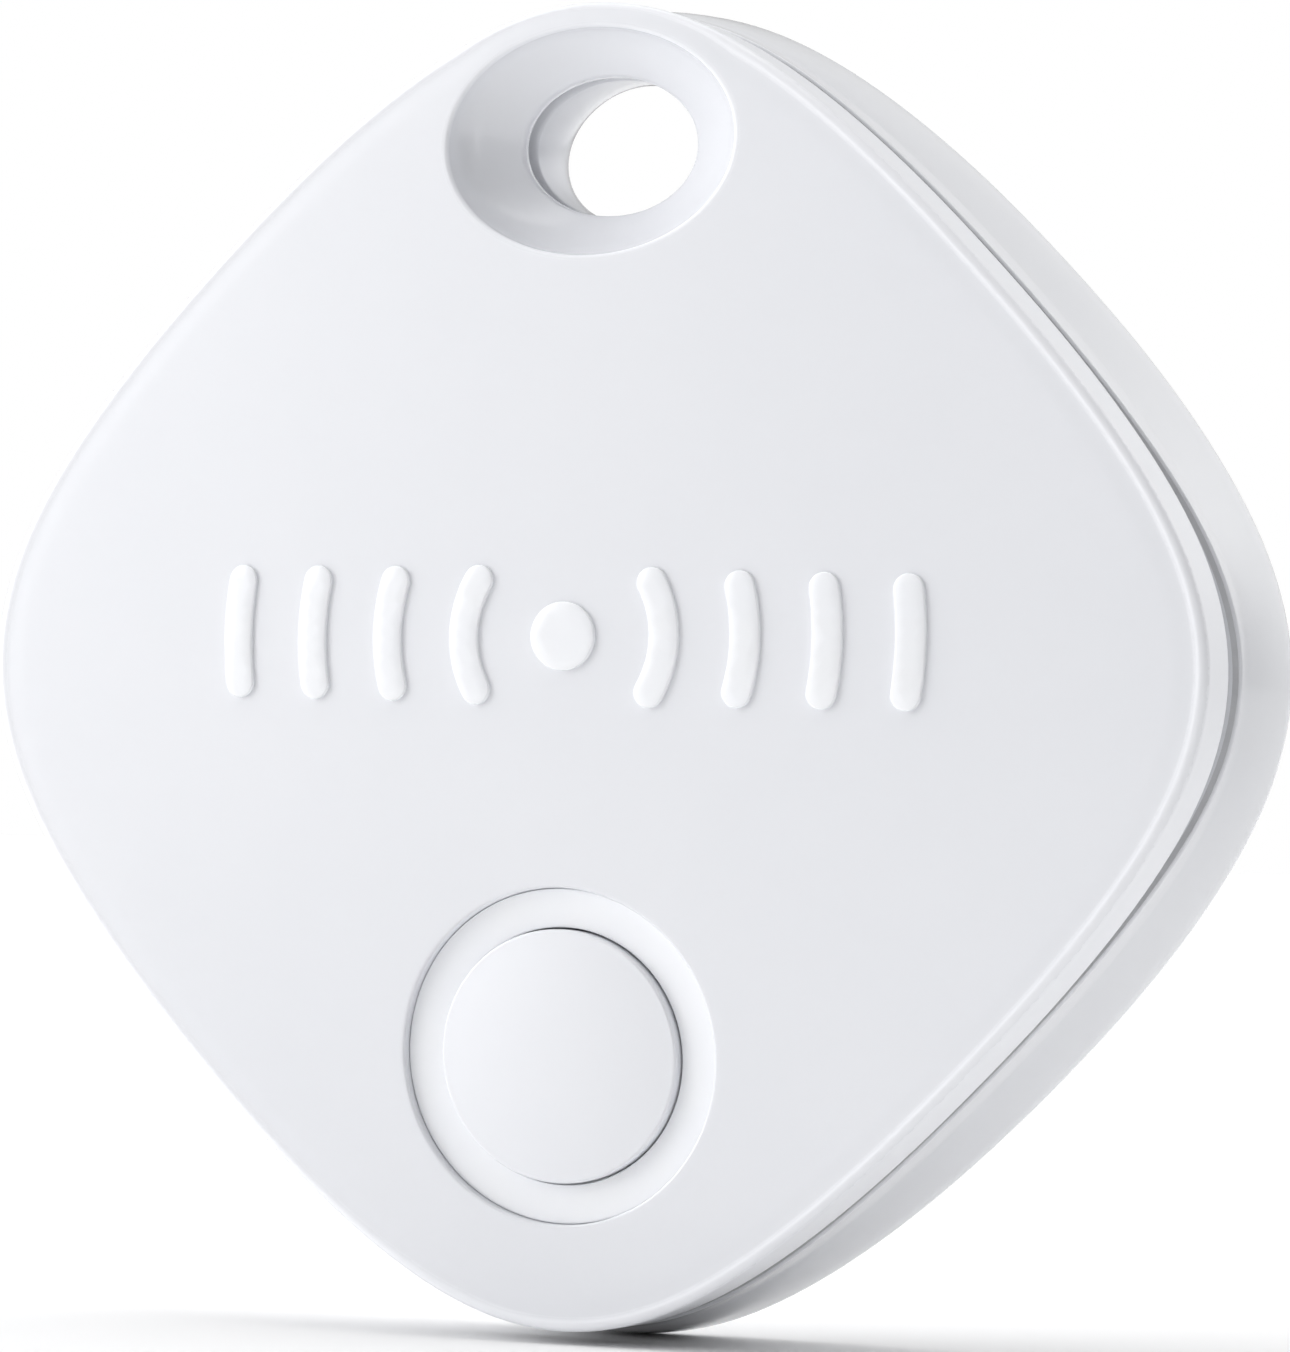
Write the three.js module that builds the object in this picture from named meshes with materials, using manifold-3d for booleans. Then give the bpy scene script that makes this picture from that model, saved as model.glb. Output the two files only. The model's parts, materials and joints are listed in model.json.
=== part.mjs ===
// Bluetooth tracker tag: a rounded-diamond case of two shells round a coin cell, circuit board, sounder
// and push button, with an oval key ring hole through its top corner.
//
// Millimetres. X is to the right, Z is up and Y runs through the tag from its face (Y low) to its back.
// While the pieces are built, Y is 0 at the middle of the face and X, Z are 0 at the middle of the tag.
// The finished group is shifted so that the origin is the middle of the key ring hole.

import * as THREE from "three";
import { mergeVertices } from "three/addons/utils/BufferGeometryUtils.js";
import Module from "manifold-3d";

const wasm = await Module();
wasm.setup();

// ---------------------------------------------------------------- driving dimensions

// Case outline: mean radius, and how much the corners stand out from a circle.
const CASE_RADIUS = 18.78;
const FRONT_LOBES = { 2: 0.006, 4: 0.0665, 8: 0.007, 12: 0.001 };
const REAR_LOBES = { 2: 0.001, 4: 0.0585, 8: 0.006, 12: 0.001 };

// Depths through the tag.
const TAG_DEPTH = 8.5;
const FACE_CROWN = 1.2; // how far the face falls back at CROWN_REACH from its middle
const CROWN_REACH = 20;
const PARTING_FRONT = 3.3; // rear edge of the front shell
const PARTING_REAR = 3.6; // front shoulder of the rear shell
const FRONT_WALL = 1.3;
const REAR_WALL = 1.1;
const CEILING = 1.2; // inside of the front shell, at its middle
const CEILING_CROWN = 0.6;
const EDGE_ROUND = 0.32;
const LIP_CHAMFER = 0.12;
const REAR_FLARE = 0.62; // how far the rear shell stands out past the front shell
const REAR_NECK = 0.55; // how deep the groove between the shells is
const SHOULDER_Y = 4.2; // where the rear shell comes out of the groove
const SHOULDER_ROUND = 0.16;
const BACK_ROUND = 0.9;

// Tongue of the rear shell, inside the front shell's wall.
const TONGUE_OUT = FRONT_WALL + 0.1; // inset of its outside
const TONGUE_IN = 2.3;
const TONGUE_FRONT = 2.3;

// Gasket in the groove: insets of its inside and outside.
const GASKET_INNER = 1.35;
const GASKET_OUTER = 0.67;

// Key ring hole: half-widths of an oval that is HOLE_ASPECT times as high as it is wide.
const HOLE_Z = 16;
const HOLE_ASPECT = 0.745;
const HOLE_RIM = 4.72;
const HOLE_THROAT = 2.9;
const HOLE_THROAT_LENGTH = 0.35;
const HOLE_REAR_BORE = 2.9;
const HOLE_REAR_RIM = 4.0;
const HOLE_FLARE_Y = 4.6; // where the rear bore starts to open out
const TUBE_WALL = 1.0;
const TUBE_SEAL_INNER = 3.3;
const TUBE_SEAL_OUTER = 3.68;
const TUBE_FRONT_END = 2.9; // rear end of the front shell's tube
const TUBE_REAR_INSET = 0.2; // how much slimmer the rear shell's tube is

// Push button.
const BUTTON_Z = -11.9;
const BUTTON_RING_R = 5.1;
const BUTTON_CAP_R = 3.86;
const BUTTON_GAP = 0.06;
const BUTTON_RING_DEPTH = 0.32; // ring's outer edge below the face
const BUTTON_RING_DISH = 0.1; // and its inner edge below that
const BUTTON_RING_BACK = 0.95;
const BUTTON_PROUD = 0.24; // cap's middle in front of the face
const BUTTON_CROWN = 0.3; // how far the cap's edge falls back from its middle
const BUTTON_EDGE = 0.1;
const BUTTON_FLANGE_R = 4.3;
const BUTTON_FLANGE_GAP = 0.12;
const BUTTON_FLANGE_DEPTH = 0.28;
const BUTTON_BOSS_R = 6.4;
const BUTTON_BOSS_BACK = 2.0;
const BUTTON_STEM_R = 1;
const BUTTON_STEM_BACK = 2.18;
const BUTTON_SEAL_INNER = 4.75;
const BUTTON_SEAL_OUTER = 5.75;

// Tact switch under the button.
const SWITCH_WIDTH = 3.2;
const SWITCH_HEIGHT = 2.6;
const SWITCH_FRONT = 2.42;
const PLUNGER_R = 0.85;
const PLUNGER_FRONT = 2.2;
const PLUNGER_BACK = 2.48;
const PLUNGER_WELL_R = 0.95;
const PLUNGER_WELL_BACK = 2.8;

// Circuit board.
const BOARD_FRONT = 3.0;
const BOARD_BACK = 3.8;
const BOARD_INSET = 2.55;
const BOARD_TOP_Z = 11.9;

// Coin cell, 20 mm by 3.2 mm.
const CELL_Z = 0.4;
const CELL_R = 10;
const CELL_FRONT = 3.2;
const CELL_BACK = CELL_FRONT + 3.2;
const CELL_CLEARANCE = 0.3;
const CAN_WALL = 0.3;
const CAN_CRIMP = 0.12; // how far the can's rolled rim stops behind the negative cap
const CUP_R = CELL_R - 0.9;
const CUP_STEP = 0.3;

// Screws that hold the tray and the board to the front shell.
const SCREW_X = 9.7;
const SCREW_Z = 8.5;
const SCREW_R = 0.55;
const SCREW_TIP = 1.95;
const SCREW_POINT = 0.4;
const SCREW_HEAD_R = 1.25;
const SCREW_HEAD_TOP_R = 0.95;
const SCREW_HEAD_DEPTH = 0.65;
const SCREW_CROSS = 1.3; // length of each arm of the cross in the head
const SCREW_CROSS_WIDTH = 0.3;
const SCREW_CROSS_DEPTH = 0.35;
const PILOT_GAP = 0.07;
const BOSS_R = 1.6;
const BOARD_HOLE_R = 0.8;
const EAR_R = 1.8;
const EAR_HOLE_R = 0.72;
const EAR_BACK = 4.7;

// Cell tray.
const TRAY_INNER = CELL_R + 0.25;
const TRAY_OUTER = CELL_R + 1.2;
const TRAY_BACK = CELL_BACK - 0.2;

// Sounder disc, glued inside the front shell.
const SOUNDER_Z = 2.7;
const SOUNDER_R = 7.2;
const SOUNDER_FRONT = 1.62;
const DIAPHRAGM_DEPTH = 0.2;
const CERAMIC_INSET = 2;
const CERAMIC_DEPTH = 0.2;
const ADHESIVE_FRONT = 1.36;
const ADHESIVE_WIDTH = 0.9;

// Sprung contacts: strip thicknesses and widths.
const SPRING_STRIP = 0.14;
const SPRING_WIDTH = 1.2;
const CONTACT_STRIP = 0.16;
const LEAF_WIDTH = 3;
const CLIP_WIDTH = 3.4;

// Foam pad between the cell and the rear shell.
const FOAM_INNER = 2.6;
const FOAM_OUTER = 7.2;

const FIT = 0.02; // gap between pieces that rest on each other
const BEYOND = 1; // how far a cutter reaches past what it cuts

// ---------------------------------------------------------------- materials

function plastic(colour, roughness) {
  return new THREE.MeshStandardMaterial({ color: colour, roughness, metalness: 0 });
}

function metal(colour, roughness) {
  return new THREE.MeshStandardMaterial({ color: colour, roughness, metalness: 1 });
}

const SATIN_WHITE = () => plastic(0xe9eaee, 0.45);
const GLOSS_WHITE = () => plastic(0xe2e3e7, 0.15);
const BRIGHT_WHITE = () => plastic(0xf6f7fc, 0.1);
const SOFT_GREY = () => plastic(0xb9bbc0, 0.8);
const NATURAL_PLASTIC = () => plastic(0xd8d6cd, 0.5);
const BLACK_PLASTIC = () => plastic(0x16171a, 0.45);
const BOARD_GREEN = () => plastic(0x14532f, 0.4);
const CERAMIC_WHITE = () => plastic(0xeeece4, 0.5);
const CERAMIC_TAN = () => plastic(0xb59a76, 0.5);
const STEEL = () => metal(0xc8c9cb, 0.25);
const BRASS = () => metal(0xd0a850, 0.3);
const GOLD_PLATE = () => metal(0xd9b45c, 0.25);

// ---------------------------------------------------------------- solids

// A closed geometry as a solid that can be joined and cut.
function solid(geometry) {
  const bare = geometry.clone();
  bare.deleteAttribute("normal");
  bare.deleteAttribute("uv");
  const merged = mergeVertices(bare, 1e-4);
  return new wasm.Manifold(
    new wasm.Mesh({
      numProp: 3,
      vertProperties: new Float32Array(merged.attributes.position.array),
      triVerts: new Uint32Array(merged.index.array),
    }),
  );
}

// A solid back as a geometry with normals.
function geometryOf(body) {
  const mesh = body.getMesh();
  const geometry = new THREE.BufferGeometry();
  geometry.setAttribute("position", new THREE.BufferAttribute(mesh.vertProperties, 3));
  geometry.setIndex(new THREE.BufferAttribute(mesh.triVerts, 1));
  geometry.computeVertexNormals();
  return geometry;
}

const joined = (first, ...others) => others.reduce((sum, body) => sum.add(body), first);
const cut = (first, ...others) => others.reduce((rest, body) => rest.subtract(body), first);

// ---------------------------------------------------------------- shapes

// How far the outline stands out at an angle from the top corner, as a factor on its mean radius.
function lobeFactor(lobes, angle) {
  return Object.entries(lobes).reduce((sum, [count, share]) => sum + share * Math.cos(count * angle), 1);
}

const frontLobes = () => FRONT_LOBES;
const rearLobes = (depth) => (depth > PARTING_REAR + 1.5 ? REAR_LOBES : FRONT_LOBES);

const crownAt = (x, z, crown) => (crown * (x * x + z * z)) / CROWN_REACH ** 2;
const faceDepth = (x, z) => crownAt(x, z, FACE_CROWN);

// A solid turned round the Y axis from a profile of [radius, depth, crown] points, with its outline
// stretched to the lobes at that depth. The profile starts at the front of the axis and ends at its
// back, or closes on itself. A point's crown bends its ring back away from the middle.
function turned(profile, segments, lobesAt = () => ({})) {
  const points = profile.map(([radius, depth]) => new THREE.Vector2(radius, depth));
  const geometry = new THREE.LatheGeometry(points, segments);
  const position = geometry.attributes.position;
  for (let i = 0; i < position.count; i++) {
    const crown = profile[i % profile.length][2] ?? 0;
    const angle = Math.atan2(position.getX(i), position.getZ(i));
    const factor = lobeFactor(lobesAt(position.getY(i)), angle);
    const x = position.getX(i) * factor;
    const z = position.getZ(i) * factor;
    position.setXYZ(i, x, position.getY(i) + crownAt(x, z, crown), z);
  }
  return geometry;
}

// A disc or ring between two depths. A ring closes its profile on itself.
function disc(radius, front, back, segments = 32) {
  return turned([[0, front], [radius, front], [radius, back], [0, back]], segments);
}

function ring(inner, outer, front, back, segments = 32, lobesAt = undefined) {
  const profile = [[inner, front], [outer, front], [outer, back], [inner, back], [inner, front]];
  return turned(profile, segments, lobesAt);
}

const placed = (geometry, x, z) => geometry.translate(x, 0, z);
const oval = (geometry) => geometry.scale(1, 1, HOLE_ASPECT);

// A box between two depths, centred at x, z.
function block(width, height, front, back, x, z) {
  return new THREE.BoxGeometry(width, back - front, height).translate(x, (front + back) / 2, z);
}

// A bent strip: its path of [across, depth] points is given a thickness and a width along Z.
function bentStrip(path, thickness, width) {
  const centre = path.map(([across, depth]) => new THREE.Vector2(across, depth));
  const normals = centre.map((point, i) => {
    const before = centre[Math.max(i - 1, 0)];
    const after = centre[Math.min(i + 1, centre.length - 1)];
    const along = after.clone().sub(before).normalize();
    return new THREE.Vector2(-along.y, along.x);
  });
  const side = (sign) =>
    centre.map((point, i) => point.clone().addScaledVector(normals[i], (sign * thickness) / 2));
  const outline = new THREE.Shape([...side(-1), ...side(1).reverse()]);
  const geometry = new THREE.ExtrudeGeometry(outline, { depth: width, bevelEnabled: false });
  return geometry.translate(0, 0, -width / 2);
}

const parts = new THREE.Group();

function addPart(name, geometry, material) {
  const mesh = new THREE.Mesh(geometry, material);
  mesh.name = name;
  parts.add(mesh);
  return mesh;
}

const addSolid = (name, body, material) => addPart(name, geometryOf(body), material);

// Every place in a rectangle of four, mirrored left to right and top to bottom.
const fourPlaces = [-1, 1].flatMap((right) => [-1, 1].map((up) => [right * SCREW_X, up * SCREW_Z]));

const CASE_SEGMENTS = 60;
const HOLE_SEGMENTS = 32;
const EMBED = 0.2; // how far a boss or tube reaches into the wall that it grows from

// A plug in the case's outline, which trims what stands inside it.
function caseCore(radius, front, back, lobesAt) {
  return solid(turned([[0, front], [radius, front], [radius, back], [0, back]], CASE_SEGMENTS, lobesAt));
}

// ---------------------------------------------------------------- key ring hole

// Cutter for the funnel in the front shell: a bowl that narrows from the rim to the throat.
function funnelCutter() {
  const rimDepth = faceDepth(0, HOLE_Z);
  const steps = 5;
  const bowl = [];
  for (let i = 0; i <= steps; i++) {
    const share = i / steps;
    const narrowed = 1 - Math.cos((share * Math.PI) / 2);
    const radius = HOLE_RIM + (HOLE_THROAT - HOLE_RIM) * narrowed;
    bowl.push([radius, rimDepth + (TUBE_FRONT_END - HOLE_THROAT_LENGTH - rimDepth) * share]);
  }
  const profile = [
    [0, -BEYOND],
    [HOLE_RIM, -BEYOND],
    ...bowl,
    [HOLE_THROAT, TUBE_FRONT_END + BEYOND],
    [0, TUBE_FRONT_END + BEYOND],
  ];
  return solid(placed(oval(turned(profile, HOLE_SEGMENTS)), 0, HOLE_Z));
}

// ---------------------------------------------------------------- front shell

function frontShell() {
  const r = CASE_RADIUS;
  const round = (degrees) => {
    const angle = THREE.MathUtils.degToRad(degrees);
    const inset = EDGE_ROUND * (1 - Math.sin(angle));
    return [r - inset, EDGE_ROUND * (1 - Math.cos(angle)), FACE_CROWN];
  };
  const wall = r - FRONT_WALL;
  const body = solid(
    turned(
      [
        [0, 0, FACE_CROWN],
        [r * 0.35, 0, FACE_CROWN],
        [r * 0.65, 0, FACE_CROWN],
        [r * 0.85, 0, FACE_CROWN],
        round(0),
        round(30),
        round(60),
        round(90),
        [r, PARTING_FRONT - LIP_CHAMFER],
        [r - LIP_CHAMFER, PARTING_FRONT],
        [wall, PARTING_FRONT],
        [wall, CEILING + 0.5, CEILING_CROWN],
        [wall - 0.5, CEILING, CEILING_CROWN],
        [r * 0.5, CEILING, CEILING_CROWN],
        [0, CEILING, CEILING_CROWN],
      ],
      CASE_SEGMENTS,
      frontLobes,
    ),
  );

  // Tube round the key ring hole, kept inside the case outline.
  const tubeStart = CEILING - 0.2;
  const tube = solid(
    placed(
      oval(
        turned(
          [
            [0, tubeStart],
            [HOLE_RIM + TUBE_WALL, tubeStart],
            [HOLE_THROAT + TUBE_WALL, TUBE_FRONT_END],
            [0, TUBE_FRONT_END],
          ],
          HOLE_SEGMENTS,
        ),
      ),
      0,
      HOLE_Z,
    ),
  );
  const inside = caseCore(wall + EMBED, tubeStart - EMBED, PARTING_FRONT, frontLobes);

  // Collar behind the button, and four screw bosses.
  const collar = solid(placed(disc(BUTTON_BOSS_R, CEILING, BUTTON_BOSS_BACK, 40), 0, BUTTON_Z));
  const bosses = fourPlaces.map(([x, z]) =>
    solid(placed(disc(BOSS_R, CEILING, BOARD_FRONT - FIT, 20), x, z)),
  );
  const pilots = fourPlaces.map(([x, z]) =>
    solid(placed(disc(SCREW_R + PILOT_GAP, SCREW_TIP - PILOT_GAP, BOARD_FRONT + BEYOND, 16), x, z)),
  );

  const face = faceDepth(0, BUTTON_Z);
  const buttonWell = solid(
    placed(
      turned(
        [
          [0, -BEYOND],
          [BUTTON_RING_R + FIT, -BEYOND],
          [BUTTON_RING_R + FIT, face + BUTTON_RING_BACK + FIT],
          [BUTTON_FLANGE_R + BUTTON_FLANGE_GAP, face + BUTTON_RING_BACK + FIT],
          [BUTTON_FLANGE_R + BUTTON_FLANGE_GAP, BUTTON_BOSS_BACK + BEYOND],
          [0, BUTTON_BOSS_BACK + BEYOND],
        ],
        48,
      ),
      0,
      BUTTON_Z,
    ),
  );
  const solids = joined(body, tube.intersect(inside), collar.intersect(inside), ...bosses);
  return cut(solids, funnelCutter(), buttonWell, ...pilots);
}

// ---------------------------------------------------------------- rear shell

function rearShell() {
  const r = CASE_RADIUS;
  const widest = r + REAR_FLARE;
  const bend = TAG_DEPTH - BACK_ROUND;
  const floor = TAG_DEPTH - REAR_WALL;
  const round = (degrees) => {
    const angle = THREE.MathUtils.degToRad(degrees);
    return [widest - BACK_ROUND * (1 - Math.cos(angle)), bend + BACK_ROUND * Math.sin(angle)];
  };
  const boreFlare = (share) => HOLE_FLARE_Y + (TAG_DEPTH - HOLE_FLARE_Y) * share;
  const flareStart = SHOULDER_Y + SHOULDER_ROUND;
  const flare = (share) => {
    const spread = REAR_FLARE * (1 - (1 - share) ** 1.5);
    return [r + spread, flareStart + (bend - flareStart) * share];
  };
  const body = solid(
    turned(
      [
        [r - TONGUE_IN, TONGUE_FRONT],
        [r - TONGUE_OUT - 0.2, TONGUE_FRONT],
        [r - TONGUE_OUT, TONGUE_FRONT + 0.3],
        [r - TONGUE_OUT, PARTING_REAR],
        [r - REAR_NECK, PARTING_REAR],
        [r - REAR_NECK, SHOULDER_Y],
        [r - SHOULDER_ROUND, SHOULDER_Y],
        [r, SHOULDER_Y + SHOULDER_ROUND],
        flare(0.25),
        flare(0.5),
        flare(0.75),
        [widest, bend],
        round(30),
        round(60),
        round(90),
        [r * 0.5, TAG_DEPTH],
        [0, TAG_DEPTH],
        [0, floor],
        [r - TONGUE_IN - 0.3, floor],
        [r - TONGUE_IN + 0.2, floor - 0.5],
        [r - TONGUE_IN, SHOULDER_Y],
        [r - TONGUE_IN, TONGUE_FRONT],
      ],
      CASE_SEGMENTS,
      rearLobes,
    ),
  );

  const tube = solid(
    placed(
      oval(
        turned(
          [
            [0, PARTING_REAR],
            [HOLE_REAR_BORE + TUBE_WALL - TUBE_REAR_INSET, PARTING_REAR],
            [HOLE_REAR_RIM + TUBE_WALL, floor + EMBED],
            [0, floor + EMBED],
          ],
          HOLE_SEGMENTS,
        ),
      ),
      0,
      HOLE_Z,
    ),
  );
  const inside = caseCore(r - TONGUE_IN + EMBED, TONGUE_FRONT, TAG_DEPTH, rearLobes);
  // The tongue stops short of the front shell's tube.
  const reliefWidth = 2 * (HOLE_RIM + TUBE_WALL) + 1.2;
  const tongueRelief = block(reliefWidth, 12, TONGUE_FRONT - BEYOND, PARTING_REAR - FIT / 2, 0, HOLE_Z + 1);
  const bore = solid(
    placed(
      oval(
        turned(
          [
            [0, TONGUE_FRONT],
            [HOLE_REAR_BORE, TONGUE_FRONT],
            [HOLE_REAR_BORE, boreFlare(0)],
            [HOLE_REAR_BORE + (HOLE_REAR_RIM - HOLE_REAR_BORE) / 4, boreFlare(0.5)],
            [HOLE_REAR_RIM, boreFlare(1)],
            [HOLE_REAR_RIM, TAG_DEPTH + BEYOND],
            [0, TAG_DEPTH + BEYOND],
          ],
          HOLE_SEGMENTS,
        ),
      ),
      0,
      HOLE_Z,
    ),
  );
  return cut(joined(body, tube.intersect(inside)), bore, solid(tongueRelief));
}

// ---------------------------------------------------------------- seals

function seals() {
  const gasket = ring(
    CASE_RADIUS - GASKET_INNER,
    CASE_RADIUS - GASKET_OUTER,
    PARTING_FRONT + FIT,
    PARTING_REAR - FIT,
    CASE_SEGMENTS,
    frontLobes,
  );
  addPart("perimeter_gasket", gasket, SOFT_GREY());
  const tubeGasket = oval(
    ring(TUBE_SEAL_INNER, TUBE_SEAL_OUTER, TUBE_FRONT_END + FIT, PARTING_REAR - FIT, HOLE_SEGMENTS),
  );
  addPart("keyring_tube_gasket", placed(tubeGasket, 0, HOLE_Z), SOFT_GREY());
  const buttonSeal = ring(BUTTON_SEAL_INNER, BUTTON_SEAL_OUTER, BUTTON_BOSS_BACK + FIT, BOARD_FRONT - FIT);
  addPart("button_seal", placed(buttonSeal, 0, BUTTON_Z), SOFT_GREY());
}

// ---------------------------------------------------------------- button

function button() {
  const face = faceDepth(0, BUTTON_Z);
  const ringInner = BUTTON_CAP_R + BUTTON_GAP;
  const ringFront = face + BUTTON_RING_DEPTH;
  const ringBack = face + BUTTON_RING_BACK;
  const dish = turned(
    [
      [ringInner, ringFront + BUTTON_RING_DISH],
      [BUTTON_RING_R, ringFront],
      [BUTTON_RING_R, ringBack],
      [ringInner, ringBack],
      [ringInner, ringFront + BUTTON_RING_DISH],
    ],
    48,
  );
  addPart("button_ring", placed(dish, 0, BUTTON_Z), BRIGHT_WHITE());

  const flangeFront = ringBack + 2 * FIT;
  const flangeBack = flangeFront + BUTTON_FLANGE_DEPTH;
  const top = face - BUTTON_PROUD;
  const cap = turned(
    [
      [0, top],
      [BUTTON_CAP_R / 3, top + BUTTON_CROWN / 9],
      [(BUTTON_CAP_R * 2) / 3, top + (BUTTON_CROWN * 4) / 9],
      [BUTTON_CAP_R - BUTTON_EDGE, top + BUTTON_CROWN],
      [BUTTON_CAP_R, top + BUTTON_CROWN + BUTTON_EDGE],
      [BUTTON_CAP_R, flangeFront],
      [BUTTON_FLANGE_R, flangeFront],
      [BUTTON_FLANGE_R, flangeBack],
      [BUTTON_STEM_R, flangeBack],
      [BUTTON_STEM_R, BUTTON_STEM_BACK],
      [0, BUTTON_STEM_BACK],
    ],
    40,
  );
  addPart("button_cap", placed(cap, 0, BUTTON_Z), SATIN_WHITE());

  const body = cut(
    solid(block(SWITCH_WIDTH, SWITCH_HEIGHT, SWITCH_FRONT, BOARD_FRONT - FIT, 0, BUTTON_Z)),
    solid(placed(disc(PLUNGER_WELL_R, PLUNGER_FRONT, PLUNGER_WELL_BACK, 20), 0, BUTTON_Z)),
  );
  addSolid("tact_switch_body", body, STEEL());
  const plunger = disc(PLUNGER_R, PLUNGER_FRONT, PLUNGER_BACK, 20);
  addPart("tact_switch_plunger", placed(plunger, 0, BUTTON_Z), BLACK_PLASTIC());
}

// ---------------------------------------------------------------- circuit board and its parts

function board() {
  const plate = caseCore(CASE_RADIUS - BOARD_INSET, BOARD_FRONT, BOARD_BACK, frontLobes);
  const through = [BOARD_FRONT - BEYOND, BOARD_BACK + BEYOND];
  const window = solid(placed(disc(CELL_R + CELL_CLEARANCE, ...through, 48), 0, CELL_Z));
  const topTrim = solid(block(2 * CASE_RADIUS, 12, ...through, 0, BOARD_TOP_Z + 6));
  const screwHoles = fourPlaces.map(([x, z]) => solid(placed(disc(BOARD_HOLE_R, ...through, 16), x, z)));
  addSolid("circuit_board", cut(plate, window, topTrim, ...screwHoles), BOARD_GREEN());
}

// Parts that sit on the front of the board: name, width, height, thickness, x, z, material.
function boardParts() {
  const onBoard = [
    ["radio_chip", 5, 5, 0.85, 13.5, 1.6, BLACK_PLASTIC],
    ["flash_chip", 3, 2, 0.6, 12.6, -4.6, BLACK_PLASTIC],
    ["chip_antenna", 2, 6.4, 1.1, -15.6, 0, CERAMIC_WHITE],
    ["main_crystal", 2.5, 2, 0.6, 12.4, 6, STEEL],
    ["sleep_crystal", 3.2, 1.5, 0.75, 12.6, -2.2, STEEL],
    ["supply_inductor", 2, 1.6, 1, -12.4, 5.6, BLACK_PLASTIC],
    ["supply_capacitor", 1.6, 2, 1, -12.3, -5.2, CERAMIC_TAN],
    ["bulk_capacitor", 3.2, 1.6, 1.2, -6.3, 10.7, CERAMIC_TAN],
    ["antenna_capacitor", 0.5, 1, 0.5, -13.6, 3.2, CERAMIC_TAN],
    ["antenna_inductor", 0.5, 1, 0.5, -13.6, -2.6, CERAMIC_WHITE],
    ["button_resistor", 1, 0.5, 0.4, 7, -10.6, BLACK_PLASTIC],
    ["sounder_resistor", 1, 0.5, 0.4, 5.6, 11.2, BLACK_PLASTIC],
  ];
  for (const [name, width, height, thickness, x, z, material] of onBoard) {
    const front = BOARD_FRONT - FIT - thickness;
    addPart(name, block(width, height, front, BOARD_FRONT - FIT, x, z), material());
  }
}

// ---------------------------------------------------------------- sounder

function sounder() {
  const back = SOUNDER_FRONT + DIAPHRAGM_DEPTH;
  const adhesive = ring(SOUNDER_R - ADHESIVE_WIDTH, SOUNDER_R, ADHESIVE_FRONT, SOUNDER_FRONT - FIT, 40);
  addPart("sounder_adhesive_ring", placed(adhesive, 0, SOUNDER_Z), BLACK_PLASTIC());
  const diaphragm = disc(SOUNDER_R, SOUNDER_FRONT, back, 40);
  addPart("sounder_diaphragm", placed(diaphragm, 0, SOUNDER_Z), BRASS());
  const ceramicBack = back + FIT + CERAMIC_DEPTH;
  const ceramic = disc(SOUNDER_R - CERAMIC_INSET, back + FIT, ceramicBack, 40);
  addPart("sounder_ceramic", placed(ceramic, 0, SOUNDER_Z), CERAMIC_WHITE());

  // Two springs reach in from the board's left side: one to the rim, one to the ceramic.
  const rest = SPRING_STRIP / 2 + FIT;
  const foot = BOARD_FRONT - rest;
  const springs = [
    ["sounder_spring_rim", 6.2, back + rest, 4.2],
    ["sounder_spring_middle", 4.2, ceramicBack + rest, -3.2],
  ];
  for (const [name, reach, tip, z] of springs) {
    const path = [[-12.6, foot], [-10.8, foot], [-reach - 0.8, tip], [-reach, tip]];
    addPart(name, placed(bentStrip(path, SPRING_STRIP, SPRING_WIDTH), 0, z), GOLD_PLATE());
  }
}

// ---------------------------------------------------------------- coin cell and its contacts

function coinCell() {
  const rim = CELL_FRONT + CAN_CRIMP;
  const lining = CELL_BACK - CAN_WALL;
  const can = turned(
    [
      [CELL_R - CAN_WALL, rim],
      [CELL_R - CAN_WALL / 3, rim],
      [CELL_R, rim + CAN_WALL * 0.75],
      [CELL_R, lining],
      [CELL_R - CAN_WALL, CELL_BACK],
      [0, CELL_BACK],
      [0, lining],
      [CELL_R - CAN_WALL, lining],
      [CELL_R - CAN_WALL, rim],
    ],
    48,
  );
  addPart("coin_cell_can", placed(can, 0, CELL_Z), STEEL());
  const gap = 0.03;
  const grommet = ring(CUP_R + gap, CELL_R - CAN_WALL - gap, rim - CAN_CRIMP / 2, lining - gap, 40);
  addPart("coin_cell_grommet", placed(grommet, 0, CELL_Z), BLACK_PLASTIC());
  const cup = turned(
    [
      [0, CELL_FRONT],
      [CUP_R - 2 * CUP_STEP, CELL_FRONT],
      [CUP_R, CELL_FRONT + CUP_STEP],
      [CUP_R, lining - gap],
      [0, lining - gap],
    ],
    40,
  );
  addPart("coin_cell_cap", placed(cup, 0, CELL_Z), STEEL());
}

function cellContacts() {
  const rest = CONTACT_STRIP / 2 + FIT;
  const foot = BOARD_FRONT - rest;
  const low = foot - 0.12;
  const touch = CELL_FRONT - rest;
  const leafPath = [[-12.8, foot], [-10.4, foot], [-9.6, low], [0.5, low], [2.2, touch], [3.6, low]];
  const leaf = bentStrip(leafPath, CONTACT_STRIP, LEAF_WIDTH);
  addPart("cell_negative_leaf", placed(leaf, 0, CELL_Z), GOLD_PLATE());

  const heel = BOARD_BACK + rest;
  const clipPath = [[13.4, heel], [10.75, heel], [10.45, heel + 0.3], [10.2, 5], [10.7, 5.9]];
  const clip = bentStrip(clipPath, CONTACT_STRIP, CLIP_WIDTH);
  addPart("cell_positive_clip", placed(clip, 0, CELL_Z), GOLD_PLATE());
}

// ---------------------------------------------------------------- tray, screws and foam pad

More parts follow.
